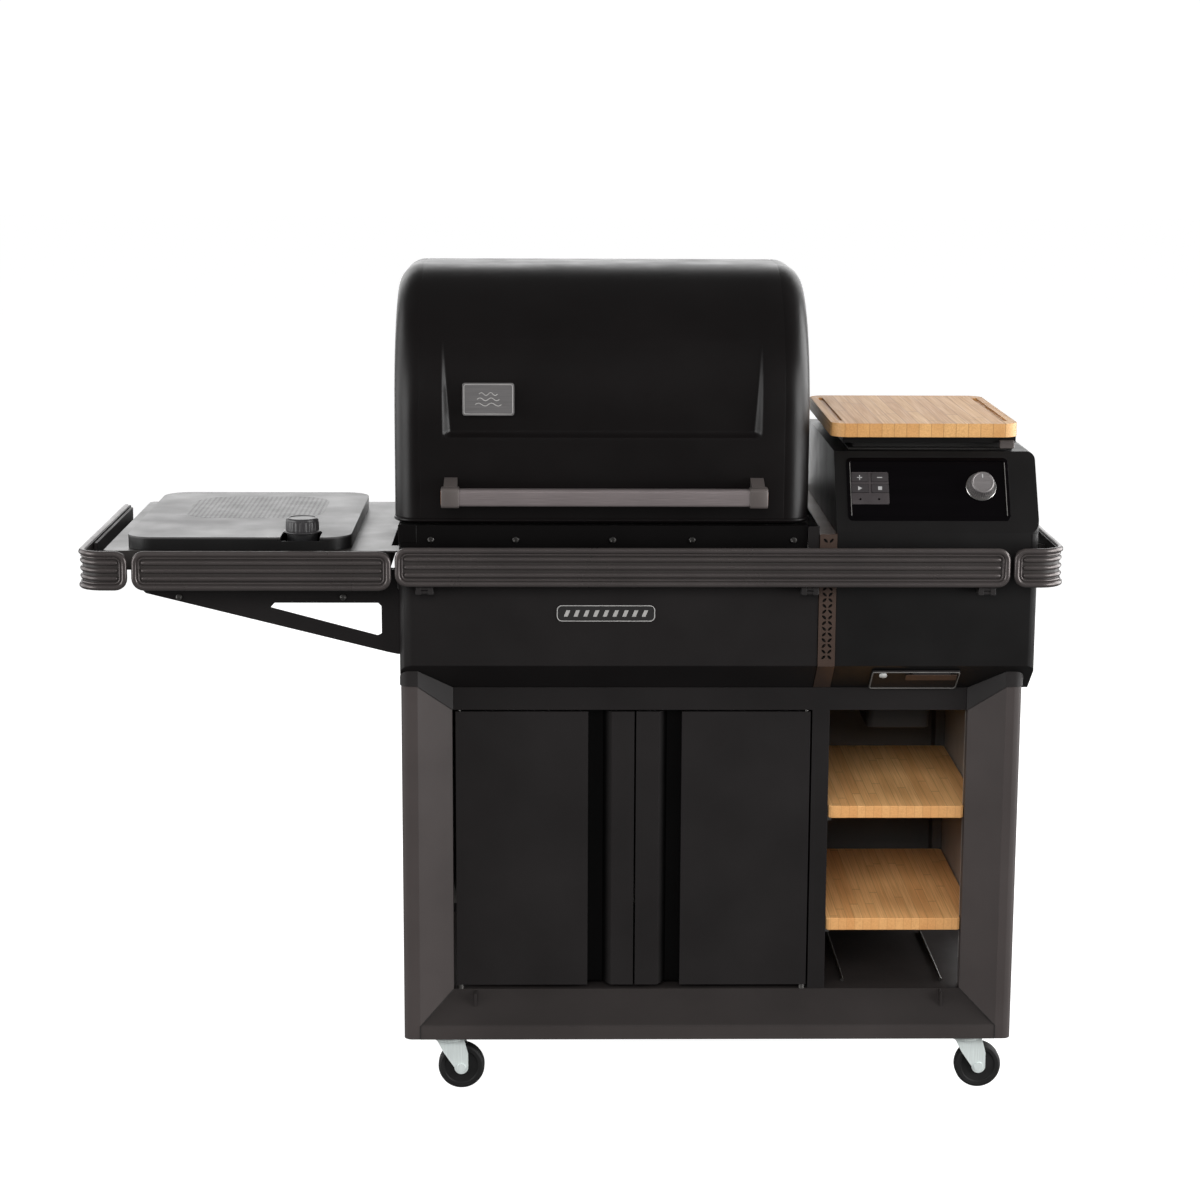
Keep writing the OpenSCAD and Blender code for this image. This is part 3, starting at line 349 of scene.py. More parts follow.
def brushed(name, colour, rough=0.32, along=(1, 0, 0), metallic=1.0, depth=0.00002):
    """Brushed sheet: long scratches along one axis, soft blotches across."""
    n = Nodes(name)
    stretch = [26.0 if a else 1400.0 for a in along]
    lines = n.noise(1.0, 3.0, n.mapped(scale=stretch))
    blotch = n.noise(9.0, 4.0)
    base = n.mix(n.span(lines, 0.3, 0.7), scaled(colour, 0.82), scaled(colour, 1.12))
    base = n.mix(n.span(blotch, 0.35, 0.7, 0.0, 0.35), base, scaled(colour, 0.7))
    n.set(Base_Color=base, Metallic=metallic, Roughness=n.span(lines, 0.25, 0.75, rough - 0.07, rough + 0.1),
          Normal=n.bump(lines, 0.35, depth))
    return n.mat


def moulded(name, colour, rough=0.5, grain=1500.0, specular=0.45):
    """Moulded plastic with a fine spark-eroded texture."""
    n = Nodes(name)
    speck = n.noise(grain, 2.0)
    drift = n.noise(25.0, 3.0)
    base = n.mix(n.span(drift, 0.3, 0.7), scaled(colour, 0.85), scaled(colour, 1.2))
    n.set(Base_Color=base, Roughness=n.span(drift, 0.3, 0.7, rough - 0.05, rough + 0.05),
          Specular_IOR_Level=specular, Normal=n.bump(speck, 0.4, 0.00005))
    return n.mat


def bamboo(name, light, dark, along, strip=0.014, end_grain_and_shade_y=None):
    """Laminated bamboo: narrow glued strips, long fibres and darker knuckles; along is 0 for X or 1 for Y."""
    n = Nodes(name)
    across = 1 - along
    edge = n.axis(across)
    run = n.axis(along)
    index = n.math("FLOOR", n.math("DIVIDE", edge, strip))
    tone = n.new("ShaderNodeTexWhiteNoise", noise_dimensions="1D")
    n.link(index, tone.inputs["W"])
    strip_tone = tone.outputs["Value"]
    length = n.math("DIVIDE", n.math("ADD", run, n.math("MULTIPLY", strip_tone, 3.7)), 0.31)
    board = n.math("ADD", n.math("FLOOR", length), n.math("MULTIPLY", index, 7.0))
    tone2 = n.new("ShaderNodeTexWhiteNoise", noise_dimensions="1D")
    n.link(board, tone2.inputs["W"])
    stretch = [1.0, 1.0, 1.0]
    stretch[along] = 7.0
    stretch[across] = 420.0
    stretch[2] = 420.0
    fibre = n.noise(1.0, 5.0, n.mapped(scale=stretch), 0.6)
    broad = [1.0, 1.0, 30.0]
    broad[along] = 2.5
    broad[across] = 30.0
    cloud = n.noise(1.0, 4.0, n.mapped(scale=broad))
    base = n.mix(n.span(tone2.outputs["Value"], 0.0, 1.0, 0.0, 0.75), light, dark)
    base = n.mix(n.span(fibre, 0.35, 0.7, 0.0, 0.55), base, scaled(dark, 0.62))
    base = n.mix(n.span(cloud, 0.45, 0.75, 0.0, 0.35), base, scaled(light, 1.08))
    place = n.math("FRACT", n.math("DIVIDE", edge, strip))
    seam = n.math("LESS_THAN", n.math("MINIMUM", place, n.math("SUBTRACT", 1.0, place)), 0.035)
    base = n.mix(n.math("MULTIPLY", seam, 0.5), base, scaled(dark, 0.45))
    knuckle = n.math("LESS_THAN", n.math("FRACT", length), 0.018)
    base = n.mix(n.math("MULTIPLY", knuckle, 0.4), base, scaled(dark, 0.5))
    # Front edges darker: partly the end grain, partly painted shade that keeps the tops lighter.
    if end_grain_and_shade_y is not None:
        end = n.span(n.axis(1), end_grain_and_shade_y, end_grain_and_shade_y + 0.001, 0.52, 0.0)
        base = n.mix(end, base, scaled(dark, 0.5))
    n.set(Base_Color=base, Roughness=n.span(fibre, 0.3, 0.7, 0.42, 0.58), Specular_IOR_Level=0.35,
          Normal=n.bump(fibre, 0.35, 0.0001))
    return n.mat


def rubber(name, colour):
    n = Nodes(name)
    speck = n.noise(700.0, 3.0)
    dust = n.noise(40.0, 5.0)
    base = n.mix(n.span(dust, 0.45, 0.75, 0.0, 0.5), colour, scaled(colour, 2.2))
    n.set(Base_Color=base, Roughness=n.span(dust, 0.3, 0.7, 0.55, 0.75), Specular_IOR_Level=0.35,
          Normal=n.bump(speck, 0.5, 0.0001))
    return n.mat


def glossy(name, colour, rough=0.06, coat=1.0, specular=0.5):
    """Polished glass or gloss plastic with faint wipe marks."""
    n = Nodes(name)
    wipe = n.noise(1.0, 4.0, n.mapped(scale=(9.0, 60.0, 60.0), rotation=(0, 0, 0.5)))
    base = n.mix(n.span(wipe, 0.4, 0.7, 0.0, 0.5), colour, scaled(colour, 1.6))
    n.set(Base_Color=base, Roughness=n.span(wipe, 0.3, 0.7, rough, rough + 0.07), Coat_Weight=coat,
          Coat_Roughness=0.05, Specular_IOR_Level=specular)
    return n.mat


LID = coated("lid_enamel", srgb(13, 11, 11), rough=0.36, grain=1100.0, specular=0.24)
LEDGE = coated("ledge_enamel", srgb(8, 7, 7), rough=0.4, grain=1100.0, specular=0.15)
BODY = coated("body_powder_coat", srgb(24, 22, 22), rough=0.46, grain=1000.0, specular=0.25)
# Painted shade: the hopper's copy of the black coat is darker than the body's, for the darker look of its
# slope.
HOPPER = coated("hopper_coat_painted_shade", srgb(15, 14, 14), rough=0.44, grain=1000.0, specular=0.3)
CART = coated("cart_powder_coat", srgb(60, 55, 54), rough=0.5, grain=1200.0, specular=0.22)
# Painted shade: the base's sloped facet above the front lip, from z 0.1155 up, is coloured darker than the
# lip.
BASE = coated("base_coat_painted_shade", srgb(53, 49, 48), rough=0.5, grain=1200.0, specular=0.2,
              painted_shades=[(2, 0.1115, 0.1155, 1.0, 0.55)])
COLLAR = coated("collar_powder_coat", srgb(34, 32, 32), rough=0.5, grain=1200.0, specular=0.2)
FRAME_DARK = coated("frame_powder_coat", srgb(25, 23, 23), rough=0.5, grain=1200.0, specular=0.25)
# Painted shade: faces set back from the door's front, such as the groove floors, are coloured darker the
# further back they lie.
DOOR = coated("door_coat_painted_shade", srgb(28, 26, 26), rough=0.5, grain=1200.0, specular=0.22,
              painted_shades=[(1, -0.2235, -0.209, 1.0, 0.12)])
# Painted light: the panels' inner faces are a light grey for the light falling into the compartment, and the
# outer faces are darkened from it; the sheet is also darker from y 0.18 backwards.
PANEL = coated("side_coat_painted_light", srgb(150, 146, 142), rough=0.5, grain=1200.0,
               painted_shades=[(1, 0.178, 0.182, 1.0, 0.25), (0, 0.4338, 0.4356, 1.0, 0.15, 0.2185)])
RAIL = coated("rail_blasted", srgb(76, 71, 70), rough=0.3, grain=1500.0, specular=0.5, metallic=0.55)
# Painted shade: a darker copy of the rail's colour for the back plate between the beads and ribs.
RAIL_PLATE_SHADE = coated("rail_plate_painted_shade", srgb(44, 41, 40), rough=0.42, grain=1500.0, specular=0.3)
HANDLE = brushed("handle_brushed", srgb(140, 131, 131), rough=0.36, along=(1, 0, 0), metallic=0.6)
BRACKET = coated("bracket_grey", srgb(88, 82, 80), rough=0.42, grain=1400.0, metallic=0.35)
COPPER = brushed("copper_accent", srgb(190, 116, 66), rough=0.3, along=(0, 1, 0))
BRONZE = coated("bronze_band", srgb(78, 64, 57), rough=0.4, grain=1500.0, metallic=0.5)
BOARD = bamboo("board_bamboo", srgb(201, 157, 103), srgb(177, 128, 76), along=1, strip=0.019)
# Painted light: the shelf tops are a brightened wood colour for the light inside the compartment, and the
# front edges from y -0.2195 are darker, partly end grain and partly painted shade.
SHELF_WOOD = bamboo("shelf_bamboo_painted_light", srgb(246, 193, 130), srgb(222, 158, 96), along=1, strip=0.013,
                    end_grain_and_shade_y=-0.2195)
SHELF_TOP = coated("shelf_coated", srgb(46, 44, 43), rough=0.36, grain=1400.0, specular=0.45, vary=0.08)
# Painted shade: the cover's skirt below its top is darkened to 0.12 of its colour.
COVER = coated("cover_grey_painted_shade", srgb(64, 63, 63), rough=0.38, grain=1400.0, specular=0.46, vary=0.05,
               painted_shades=[(2, 0.8975, 0.8995, 0.12, 1.0)])
GLASS = glossy("black_glass", srgb(10, 10, 11))
GLOSS = glossy("panel_gloss", srgb(4, 3, 4), rough=0.1, coat=0.0, specular=0.16)
KEYPAD = moulded("keypad_grey", srgb(57, 53, 54), specular=0.25)
KEY = moulded("key_grey", srgb(50, 47, 48), specular=0.25)
ICON = moulded("icon_light", srgb(150, 150, 150))
DIAL_CAP = brushed("dial_turned", srgb(128, 124, 124), rough=0.45, along=(1, 0, 0), metallic=0.5)
DIAL_RING = brushed("dial_ring", srgb(206, 204, 202), rough=0.3, along=(1, 0, 0))
KNOB_PAINT = moulded("knob_black", srgb(46, 45, 46), rough=0.36)
BADGE = brushed("badge_brushed", srgb(108, 106, 106), rough=0.42, along=(1, 0, 0), metallic=0.4)
BADGE_DARK = coated("badge_recess", srgb(30, 29, 29), rough=0.5, grain=1500.0)
STEEL = brushed("plain_steel", srgb(150, 148, 145), rough=0.36, along=(1, 0, 0))
TRIM = brushed("trim_bright", srgb(176, 174, 172), rough=0.42, along=(1, 0, 0), metallic=0.3)
LINER = brushed("liner_steel", srgb(92, 90, 88), rough=0.45, along=(1, 0, 0), metallic=0.85)
SCREW = brushed("screw_steel", srgb(140, 138, 136), rough=0.3, along=(0, 0, 1))
IRON = coated("cast_iron", srgb(58, 54, 51), rough=0.65, grain=350.0, grain_depth=0.0003, vary=0.3)
GRATE = brushed("grate_steel", srgb(165, 160, 155), rough=0.25, along=(0, 1, 0))
TRAY = coated("tray_enamel", srgb(52, 51, 52), rough=0.25, grain=500.0)
ZINC = brushed("zinc_plate", srgb(226, 234, 232), rough=0.42, along=(0, 0, 1), metallic=0.35)
BIN = coated("bin_coated", srgb(38, 37, 36), rough=0.5, grain=900.0)
LAMP = moulded("lamp_white", srgb(170, 170, 168), rough=0.3)
TYRE = rubber("caster_rubber", srgb(22, 22, 22))
HUB = moulded("hub_grey", srgb(92, 90, 88))
KEG = coated("keg_paint", srgb(44, 42, 41), rough=0.45, grain=1000.0)
PLASTIC = moulded("black_moulding", srgb(26, 26, 27))
# Painted shade: a dark rubber-like black for the lines in the base's mitre gaps and the sheet behind the vent
# band.
PAINTED_SHADE_BLACK = rubber("painted_shade_black", srgb(30, 29, 28))

# ---------------------------------------------------------------- stage, light and camera

ROOM_LIGHT = 0.13

def make_stage():
    floor_mat = Nodes("studio_floor")
    soft = floor_mat.noise(3.0, 2.0)
    floor_mat.set(Base_Color=floor_mat.mix(soft, (0.3, 0.3, 0.3, 1), (0.32, 0.32, 0.32, 1)), Roughness=0.8,
                  Specular_IOR_Level=0.0, Emission_Color=(1, 1, 1, 1), Emission_Strength=0.96)
    mesh = bpy.data.meshes.new("studio_floor")
    half = 30.0
    corners = [(-half, -half, 0), (half, -half, 0), (half, half, 0), (-half, half, 0)]
    mesh.from_pydata(corners, [], [[0, 1, 2, 3]])
    mesh.materials.append(floor_mat.mat)
    floor = bpy.data.objects.new("studio_floor", mesh)
    bpy.context.scene.collection.objects.link(floor)

    floor.visible_glossy = False
    floor.visible_diffuse = False

    # The backdrop is white, and what the object mirrors of it is a dim grey room
    world = bpy.data.worlds.new("studio")
    bpy.context.scene.world = world
    world.use_nodes = True
    tree = world.node_tree
    room = tree.nodes["Background"]
    room.inputs["Color"].default_value = (1, 1, 1, 1)
    room.inputs["Strength"].default_value = ROOM_LIGHT
    backdrop = tree.nodes.new("ShaderNodeBackground")
    backdrop.inputs["Color"].default_value = (1, 1, 1, 1)
    backdrop.inputs["Strength"].default_value = 1.05
    rays = tree.nodes.new("ShaderNodeLightPath")
    choose = tree.nodes.new("ShaderNodeMixShader")
    tree.links.new(rays.outputs["Is Camera Ray"], choose.inputs[0])
    tree.links.new(room.outputs[0], choose.inputs[1])
    tree.links.new(backdrop.outputs[0], choose.inputs[2])
    tree.links.new(choose.outputs[0], tree.nodes["World Output"].inputs["Surface"])
    bpy.context.scene.view_settings.view_transform = "Standard"


def area_light(name, place, target, size, power, mirrored=True):
    data = bpy.data.lights.new(name, "AREA")
    data.shape = "RECTANGLE"
    data.size, data.size_y = size
    data.energy = power
    lamp = bpy.data.objects.new(name, data)
    lamp.location = place
    lamp.rotation_mode = "QUATERNION"
    lamp.rotation_quaternion = (Vector(target) - Vector(place)).to_track_quat("-Z", "Y")
    lamp.visible_camera = False
    lamp.visible_glossy = mirrored
    bpy.context.scene.collection.objects.link(lamp)


def make_lights():
    area_light("back_soft", (0.0, 3.6, 1.7), (0, 0, 1.0), (5.0, 2.7), 88)
    for side, name in ((-1, "left"), (1, "right")):
        area_light(f"{name}_wall", (3.3 * side, 0.9, 1.5), (0, 0.2, 1.0), (2.6, 2.8), 98 + 42 * side)
        area_light(f"{name}_front_wall", (3.8 * side, -1.8, 1.3), (0, 0, 0.8), (2.4, 2.6), 128 + 34 * side)
    # Fill that lightens wood and paint but isn't mirrored in the dark enamel
    area_light("front_fill", (-0.4, -5.0, 3.0), (0, 0, 0.6), (4.0, 2.4), 235, mirrored=False)
    area_light("top_fill", (0.0, 0.0, 5.0), (0, 0, 0), (4.0, 3.0), 28, mirrored=False)


def make_camera():
    """The viewpoint: 11 degrees down from in front, a little to the left of the middle."""
    yaw, pitch, roll = math.radians(-1.043), math.radians(90 - 10.9), math.radians(0.25)
    data = bpy.data.cameras.new("camera")
    data.sensor_width = 36.0
    data.lens = 79.3
    data.clip_start = 0.1
    camera = bpy.data.objects.new("camera", data)
    turn = Matrix.Rotation(yaw, 4, "Z") @ Matrix.Rotation(pitch, 4, "X") @ Matrix.Rotation(roll, 4, "Z")
    camera.matrix_world = Matrix.Translation((-0.030, -4.2785, 1.577)) @ turn
    bpy.context.scene.collection.objects.link(camera)
    bpy.context.scene.camera = camera


make_stage()
make_lights()
make_camera()

# ---------------------------------------------------------------- rails

RAIL_FRONT, RAIL_TOP = box_mm("front_rails")[0][1], box_mm("front_rails")[1][2]
RAIL_H = 61.0
SHELF_STEP = 6.0  # the rails round the side shelf sit this much lower
RAIL_CORNER = 19.0
RAIL_BEND = 40.0
PLATE_FRONT, PLATE_BACK = 6.0, 10.5
BEAD, INNER_BEAD = 4.6, 2.0
RIB, RIB_PITCH = 4.2, 12.2


def straight_path(x0, x1):
    """Front rail: position s runs along +X from x0; returns (point, inward direction)."""
    def at(s):
        return Vector((x0 + s, RAIL_FRONT, 0)), Vector((0, 1, 0))
    return at, x1 - x0


def corner_path(x_inner, x_outer, bend, back):
    """Corner rail: along the front to the outer side, round the bend and back along the side."""
    way = 1 if x_outer > x_inner else -1
    flat = abs(x_outer - x_inner) - bend
    turn = bend * math.pi / 2

    def at(s):
        if s <= flat:
            return Vector((x_inner + way * s, RAIL_FRONT, 0)), Vector((0, 1, 0))
        if s <= flat + turn:
            a = (s - flat) / bend
            out = Vector((way * math.sin(a), -math.cos(a), 0))
            return Vector((x_outer - way * bend, RAIL_FRONT + bend, 0)) + out * bend, -out
        return Vector((x_outer, RAIL_FRONT + bend + s - flat - turn, 0)), Vector((-way, 0, 0))
    return at, flat + turn + back - RAIL_FRONT - bend


def steps_along(length, fine=14.0):
    n = max(2, round(length / fine))
    return [length * i / n for i in range(n + 1)]


def make_rail(name, path, bottom, replaces=(), slot=None):
    """One ribbed rail: back plate, a bead all round with round corners, three ribs with round ends."""
    at, length = path
    shape = Shape()

    def put(s, z, depth):
        point, inward = at(min(max(s, 0.0), length))
        return point + inward * depth + Vector((0, 0, bottom + z))

    def rounded_height(s):
        """How far the plate's edge is cut in at position s by the round corners."""
        d = min(s, length - s)
        if d >= RAIL_CORNER:
            return 0.0
        return RAIL_CORNER - math.sqrt(max(RAIL_CORNER ** 2 - (RAIL_CORNER - d) ** 2, 0.0))

    inset = BEAD * 0.8
    ends = [inset + RAIL_CORNER * k / 8 for k in range(9)]
    stations = ends + [length - s for s in ends]
    stations += [s for s in steps_along(length) if ends[-1] < s < length - ends[-1]]
    rings = []
    for s in sorted(stations):
        cut = max(rounded_height(s), inset)
        rings.append([put(s, z, depth) for z, depth in (
            (cut, PLATE_FRONT), (RAIL_H - cut, PLATE_FRONT), (RAIL_H - cut, PLATE_BACK), (cut, PLATE_BACK))])
    shape.loft(rings)
    plate_faces = len(shape.faces)
    # Bead round the edge, a double roll: a thick outer and a thin inner one
    for inset_by, r, depth in ((BEAD, BEAD, BEAD), (BEAD * 2.35, INNER_BEAD, 5.0)):
        loop = []
        c = RAIL_CORNER - inset_by
        lo, hi = inset_by, RAIL_H - inset_by
        for s0, z0, a0 in ((inset_by + c, lo + c, 180), (length - inset_by - c, lo + c, 270),
                           (length - inset_by - c, hi - c, 0), (inset_by + c, hi - c, 90)):
            for k in range(7):
                a = math.radians(a0 + 90 * k / 6)
                loop.append((s0 + c * math.cos(a), z0 + c * math.sin(a)))
        full = []
        for k, (s, z) in enumerate(loop):
            full.append((s, z))
            nxt = loop[(k + 1) % len(loop)]
            run = abs(nxt[0] - s)
            if run > 25:
                n = round(run / 12.0)
                full += [(s + (nxt[0] - s) * j / n, z + (nxt[1] - z) * j / n) for j in range(1, n)]
        shape.tube([put(s, z, depth) for s, z in full], r, 10, closed=True)
    # Ribs with round ends
    start = RAIL_CORNER * 0.98
    for i in (-1, 0, 1):
        z = RAIL_H / 2 + i * RIB_PITCH
        marks = [start - RIB * math.cos(math.radians(90 * k / 4)) for k in range(4)]
        marks += [s for s in steps_along(length) if start < s < length - start]
        marks += [length - start + RIB * math.cos(math.radians(90 * k / 4)) for k in range(3, -1, -1)]
        rings = []
        for s in marks:
            past = max(start - s, s - length + start, 0.0)
            k = math.sqrt(max(RIB * RIB - past ** 2, 0.09))
            rings.append([put(s, z + k * math.sin(a), 6.2 - k * 0.95 * math.cos(a))
                          for a in (2 * math.pi * j / 12 for j in range(12))])
        shape.loft(rings)
    rail = shape.piece(name, RAIL, "cart", slot, replaces, 40)
    # The plate faces take the darker copy: painted shade between the beads and ribs.
    rail.data.materials.append(RAIL_PLATE_SHADE)
    for face in rail.data.polygons[:plate_faces]:
        face.material_index = 1


def make_rails():
    lo, hi = box_mm("corner_rails")
    high, low = RAIL_TOP - RAIL_H, RAIL_TOP - RAIL_H - SHELF_STEP
    straight, corner = SLOT_OF["front_rails"], SLOT_OF["corner_rails"]
    make_rail("main_rail", straight_path(-271, 670), high, ("front_rails",))
    make_rail("shelf_rail", straight_path(-671, -276), low, (), straight)
    make_rail("left_corner_rail", corner_path(-677, lo[0], RAIL_BEND, hi[1]), low, ("corner_rails",))
    make_rail("right_corner_rail", corner_path(675, hi[0], RAIL_BEND, hi[1]), high, (), corner)


make_rails()

# ---------------------------------------------------------------- lid

LID_LO, LID_HI = box_mm("lid_shell")
LID_FRONT, LID_BACK, LID_BOTTOM = -264.0, 228.0, 925.0
LID_TOP = LID_HI[2]
FRONT_R, BACK_R, END_R = 225.0, 150.0, 38.0


def lid_profile(inset=0.0):
    """Points and outward normals of the barrel from the front lip over the top to the back lip."""
    front_y, back_y = LID_FRONT + inset, LID_BACK - inset
    out = [(front_y, LID_BOTTOM, (0, -1))]
    straight = [LID_BOTTOM + 8 + k * 14 for k in range(0, 11)]
    turn_z = LID_TOP - FRONT_R
    for z in straight:
        if z < turn_z - 4:
            out.append((front_y, z, (0, -1)))
    r = FRONT_R - inset
    cy = LID_FRONT + FRONT_R
    for k in range(31):
        a = math.radians(90 * k / 30)
        out.append((cy - r * math.cos(a), turn_z + r * math.sin(a), (math.sin(a), -math.cos(a))))
    cy2 = LID_BACK - BACK_R
    for k in range(1, 4):
        out.append((cy + (cy2 - cy) * k / 4, LID_TOP - inset, (1, 0)))
    r2 = BACK_R - inset
    for k in range(21):
        a = math.radians(90 * k / 20)
        out.append((cy2 + r2 * math.sin(a), LID_TOP - BACK_R + r2 * math.cos(a), (math.cos(a), math.sin(a))))
    z = LID_TOP - BACK_R - 20
    while z > LID_BOTTOM + 8:
        out.append((back_y, z, (0, 1)))
        z -= 24
    out.append((back_y, LID_BOTTOM, (0, 1)))
    return out


# Pressed panel: its outline, depth, the width of its side walls at the bottom and top, and its foot
PRESS = {"x0": -201.0, "x1": 293.0, "z0": 1064.0, "z1": 1204.0, "deep": 11.0, "wall": 16.0, "top_wall": 4.0,
         "foot": 9.0}


def eased(t):
    """Smooth step from 0 to 1."""
    t = min(max(t, 0.0), 1.0)
    return t * t * (3 - 2 * t)


def press_depth(x, z):
    """Depth of the pressed panel on the lid's front at height z."""
    p = PRESS
    if z < p["z0"] - p["foot"] or z > p["z1"]:
        return 0.0
    down = (p["z1"] - z) / (p["z1"] - p["z0"])
    wall = p["top_wall"] + (p["wall"] - p["top_wall"]) * down
    across = eased(min(x - p["x0"], p["x1"] - x) / wall)
    return p["deep"] * across * min(down, 1.0) ** 0.8 * eased((z - p["z0"] + p["foot"]) / p["foot"])


def spread(lo, hi, zones, fine, coarse):
    """Positions from lo to hi, close together inside the zones."""
    stops = sorted({lo, hi} | {z for zone in zones for z in zone})
    out = [lo]
    for a, b in zip(stops, stops[1:]):
        inside = any(z0 <= (a + b) / 2 <= z1 for z0, z1 in zones)
        n = math.ceil((b - a) / (fine if inside else coarse))
        out += [a + (b - a) * k / n for k in range(1, n + 1)]
    return out


def make_lid():
    x0, x1 = LID_LO[0], LID_HI[0]
    profile = lid_profile()
    # Denser rows through the pressed panel
    dense = []
    for a, b in zip(profile, profile[1:]):
        dense.append(a)
        mid_z = (a[1] + b[1]) / 2
        if a[2][1] < 0 and PRESS["z0"] - 14 < mid_z < PRESS["z1"] + 6:
            n = 5 if mid_z < PRESS["z0"] + 14 else 3
            for k in range(1, n):
                t = k / n
                ny = a[2][0] + (b[2][0] - a[2][0]) * t
                nz = a[2][1] + (b[2][1] - a[2][1]) * t
                if a[2] == b[2]:
                    point = (a[0] + (b[0] - a[0]) * t, a[1] + (b[1] - a[1]) * t)
                else:
                    ang0 = math.atan2(a[2][0], -a[2][1])
                    ang1 = math.atan2(b[2][0], -b[2][1])
                    ang = ang0 + (ang1 - ang0) * t
                    ny, nz = math.sin(ang), -math.cos(ang)
                    cy, cz = LID_FRONT + FRONT_R, LID_TOP - FRONT_R
                    point = (cy - FRONT_R * math.cos(ang), cz + FRONT_R * math.sin(ang))
                dense.append((point[0], point[1], (ny, nz)))
    dense.append(profile[-1])
    ends = [90 * k / 8 for k in range(9)]
    edges = ((x0 + END_R, x0 + END_R + 4), (PRESS["x0"] - 1, PRESS["x0"] + 18),
             (PRESS["x1"] - 18, PRESS["x1"] + 1), (x1 - END_R - 4, x1 - END_R))
    flats = spread(x0 + END_R, x1 - END_R, edges, 1.2, 30.0)
    shape = Shape()
    rows = []
    for y, z, (up, out) in dense:
        row = []
        normal = Vector((0, out, up))
        for a in ends:
            s, c = math.sin(math.radians(a)), math.cos(math.radians(a))
            row.append(Vector((x0 + END_R * (1 - s), y, z)) - normal * END_R * (1 - c))
        row = row[::-1]
        # Soft crease where the end rounding meets the barrel
        for x in flats[1:-1]:
            crease = 0.5 * math.exp(-((min(x - x0, x1 - x) - END_R - 2) / 1.2) ** 2)
            depth = press_depth(x, z) if out < 0 else 0.0
            row.append(Vector((x, y, z)) - normal * (depth + crease))
        for a in ends:
            s, c = math.sin(math.radians(a)), math.cos(math.radians(a))
            row.append(Vector((x1 - END_R * (1 - s), y, z)) - normal * END_R * (1 - c))
        for p in row:
            p.z = max(p.z, LID_BOTTOM)
        rows.append(row)
    shape.grid(rows)
    # Flat end walls: a narrow strip along the rounding, then one face
    for col, x in ((0, x0), (-1, x1)):
        ring = [row[col] for row in rows]
        centre = Vector((x, (LID_FRONT + LID_BACK) / 2, (LID_BOTTOM + LID_TOP) / 2))
        inner = [p.lerp(centre, 0.03) for p in ring]
        shape.grid([ring, inner], close_cols=True)
        shape.add(inner, [list(range(len(inner)))])
    piece = shape.piece("lid_barrel", LID, "lid", None, ("lid_shell",), 35)
    bm = bmesh.new()
    bm.from_mesh(piece.data)
    bmesh.ops.remove_doubles(bm, verts=bm.verts, dist=2e-5)
    bmesh.ops.recalc_face_normals(bm, faces=bm.faces)
    bm.to_mesh(piece.data)
    bm.free()
    mod = piece.modifiers.new("sheet", "SOLIDIFY")
    mod.thickness = 2 * MM
    mod.offset = -1
    # Rolled lower edge and hinge knuckles
    trim = Shape()
    lip = [(x, y, LID_BOTTOM + 3.5) for x, y in
           round_rect(x0 + 0.8, LID_FRONT + 0.8, x1 - 0.8, LID_BACK - 0.8, END_R - 4, 6)]
    trim.tube(lip, 2.6, 8, closed=True)
    trim.piece("lid_rolled_edge", LID, "lid", "enamel")
    for i, x in enumerate((-200, 286)):
        knuckle = Shape()
        profile = [(0, 4.05), (0, 7), (1, 8), (40, 8), (41, 7), (41, 4.05)]
        knuckle.lathe((x - 20.5, 238, 931), (1, 0, 0), profile)
        knuckle.block((x - 20.5, 226, 927), (x + 20.5, 236, 939))
        knuckle.piece(f"lid_knuckle_{i + 1}", STEEL, "lid", "hardware_steel")


make_lid()
refine("lid_liner", LINER, 0)


def make_badges():
    """Plain metal plates with a raised rim and a plain flame-like line, no lettering."""
    lo, hi = box_mm("lid_badge")
    s = Shape()
    outline = round_rect(lo[0], lo[2], hi[0], hi[2], 4, 6)
    s.prism(outline, lambda u, v, side: (u, hi[1] if side else lo[1] + 0.2, v))
    plate = s.piece("lid_badge_plate", BADGE, "lid", None, ("lid_badge",))
    bevel(plate, 0.5)
    rim = Shape()
    inner = round_rect(lo[0] + 2.5, lo[2] + 2.5, hi[0] - 2.5, hi[2] - 2.5, 3, 6)
    rim.tube([(u, lo[1] + 0.2, v) for u, v in inner], 0.55, 6, closed=True)
    cx, cz = (lo[0] + hi[0]) / 2, (lo[2] + hi[2]) / 2
    for k in range(3):
        z = cz - 8 + k * 8
        w = 20 - 3 * k
        wave = [(cx - w + 2 * w * j / 16, lo[1] + 0.1, z + 2.2 * math.sin(j * math.pi / 4))
                for j in range(17)]
        rim.tube(wave, 0.7, 6)
    rim.piece("lid_badge_ornament", TRIM, "lid", "badge_metal")
    lo, hi = box_mm("name_plate")
    s = Shape()
    outline = round_rect(lo[0], lo[2], hi[0], hi[2], 8, 6)
    s.prism(outline, lambda u, v, side: (u, hi[1] if side else lo[1] + 0.3, v))
    s.piece("front_plate", BADGE_DARK, "cart", None, ("name_plate",))
    edge = Shape()
    edge.tube([(u, lo[1] + 0.6, v) for u, v in round_rect(lo[0] + 1, lo[2] + 1, hi[0] - 1, hi[2] - 1, 7, 6)],
              0.9, 6, closed=True)
    mid = (lo[2] + hi[2]) / 2
    for k in range(9):
        x = lo[0] + 16 + k * (hi[0] - lo[0] - 32) / 8
        edge.prism([(x - 5, mid - 5), (x + 1, mid - 5), (x + 5, mid + 5), (x - 1, mid + 5)],
                   lambda u, v, side: (u, lo[1] + (0.9 if side else 0.1), v))
    edge.piece("front_plate_trim", TRIM, "cart", "badge_metal")


make_badges()


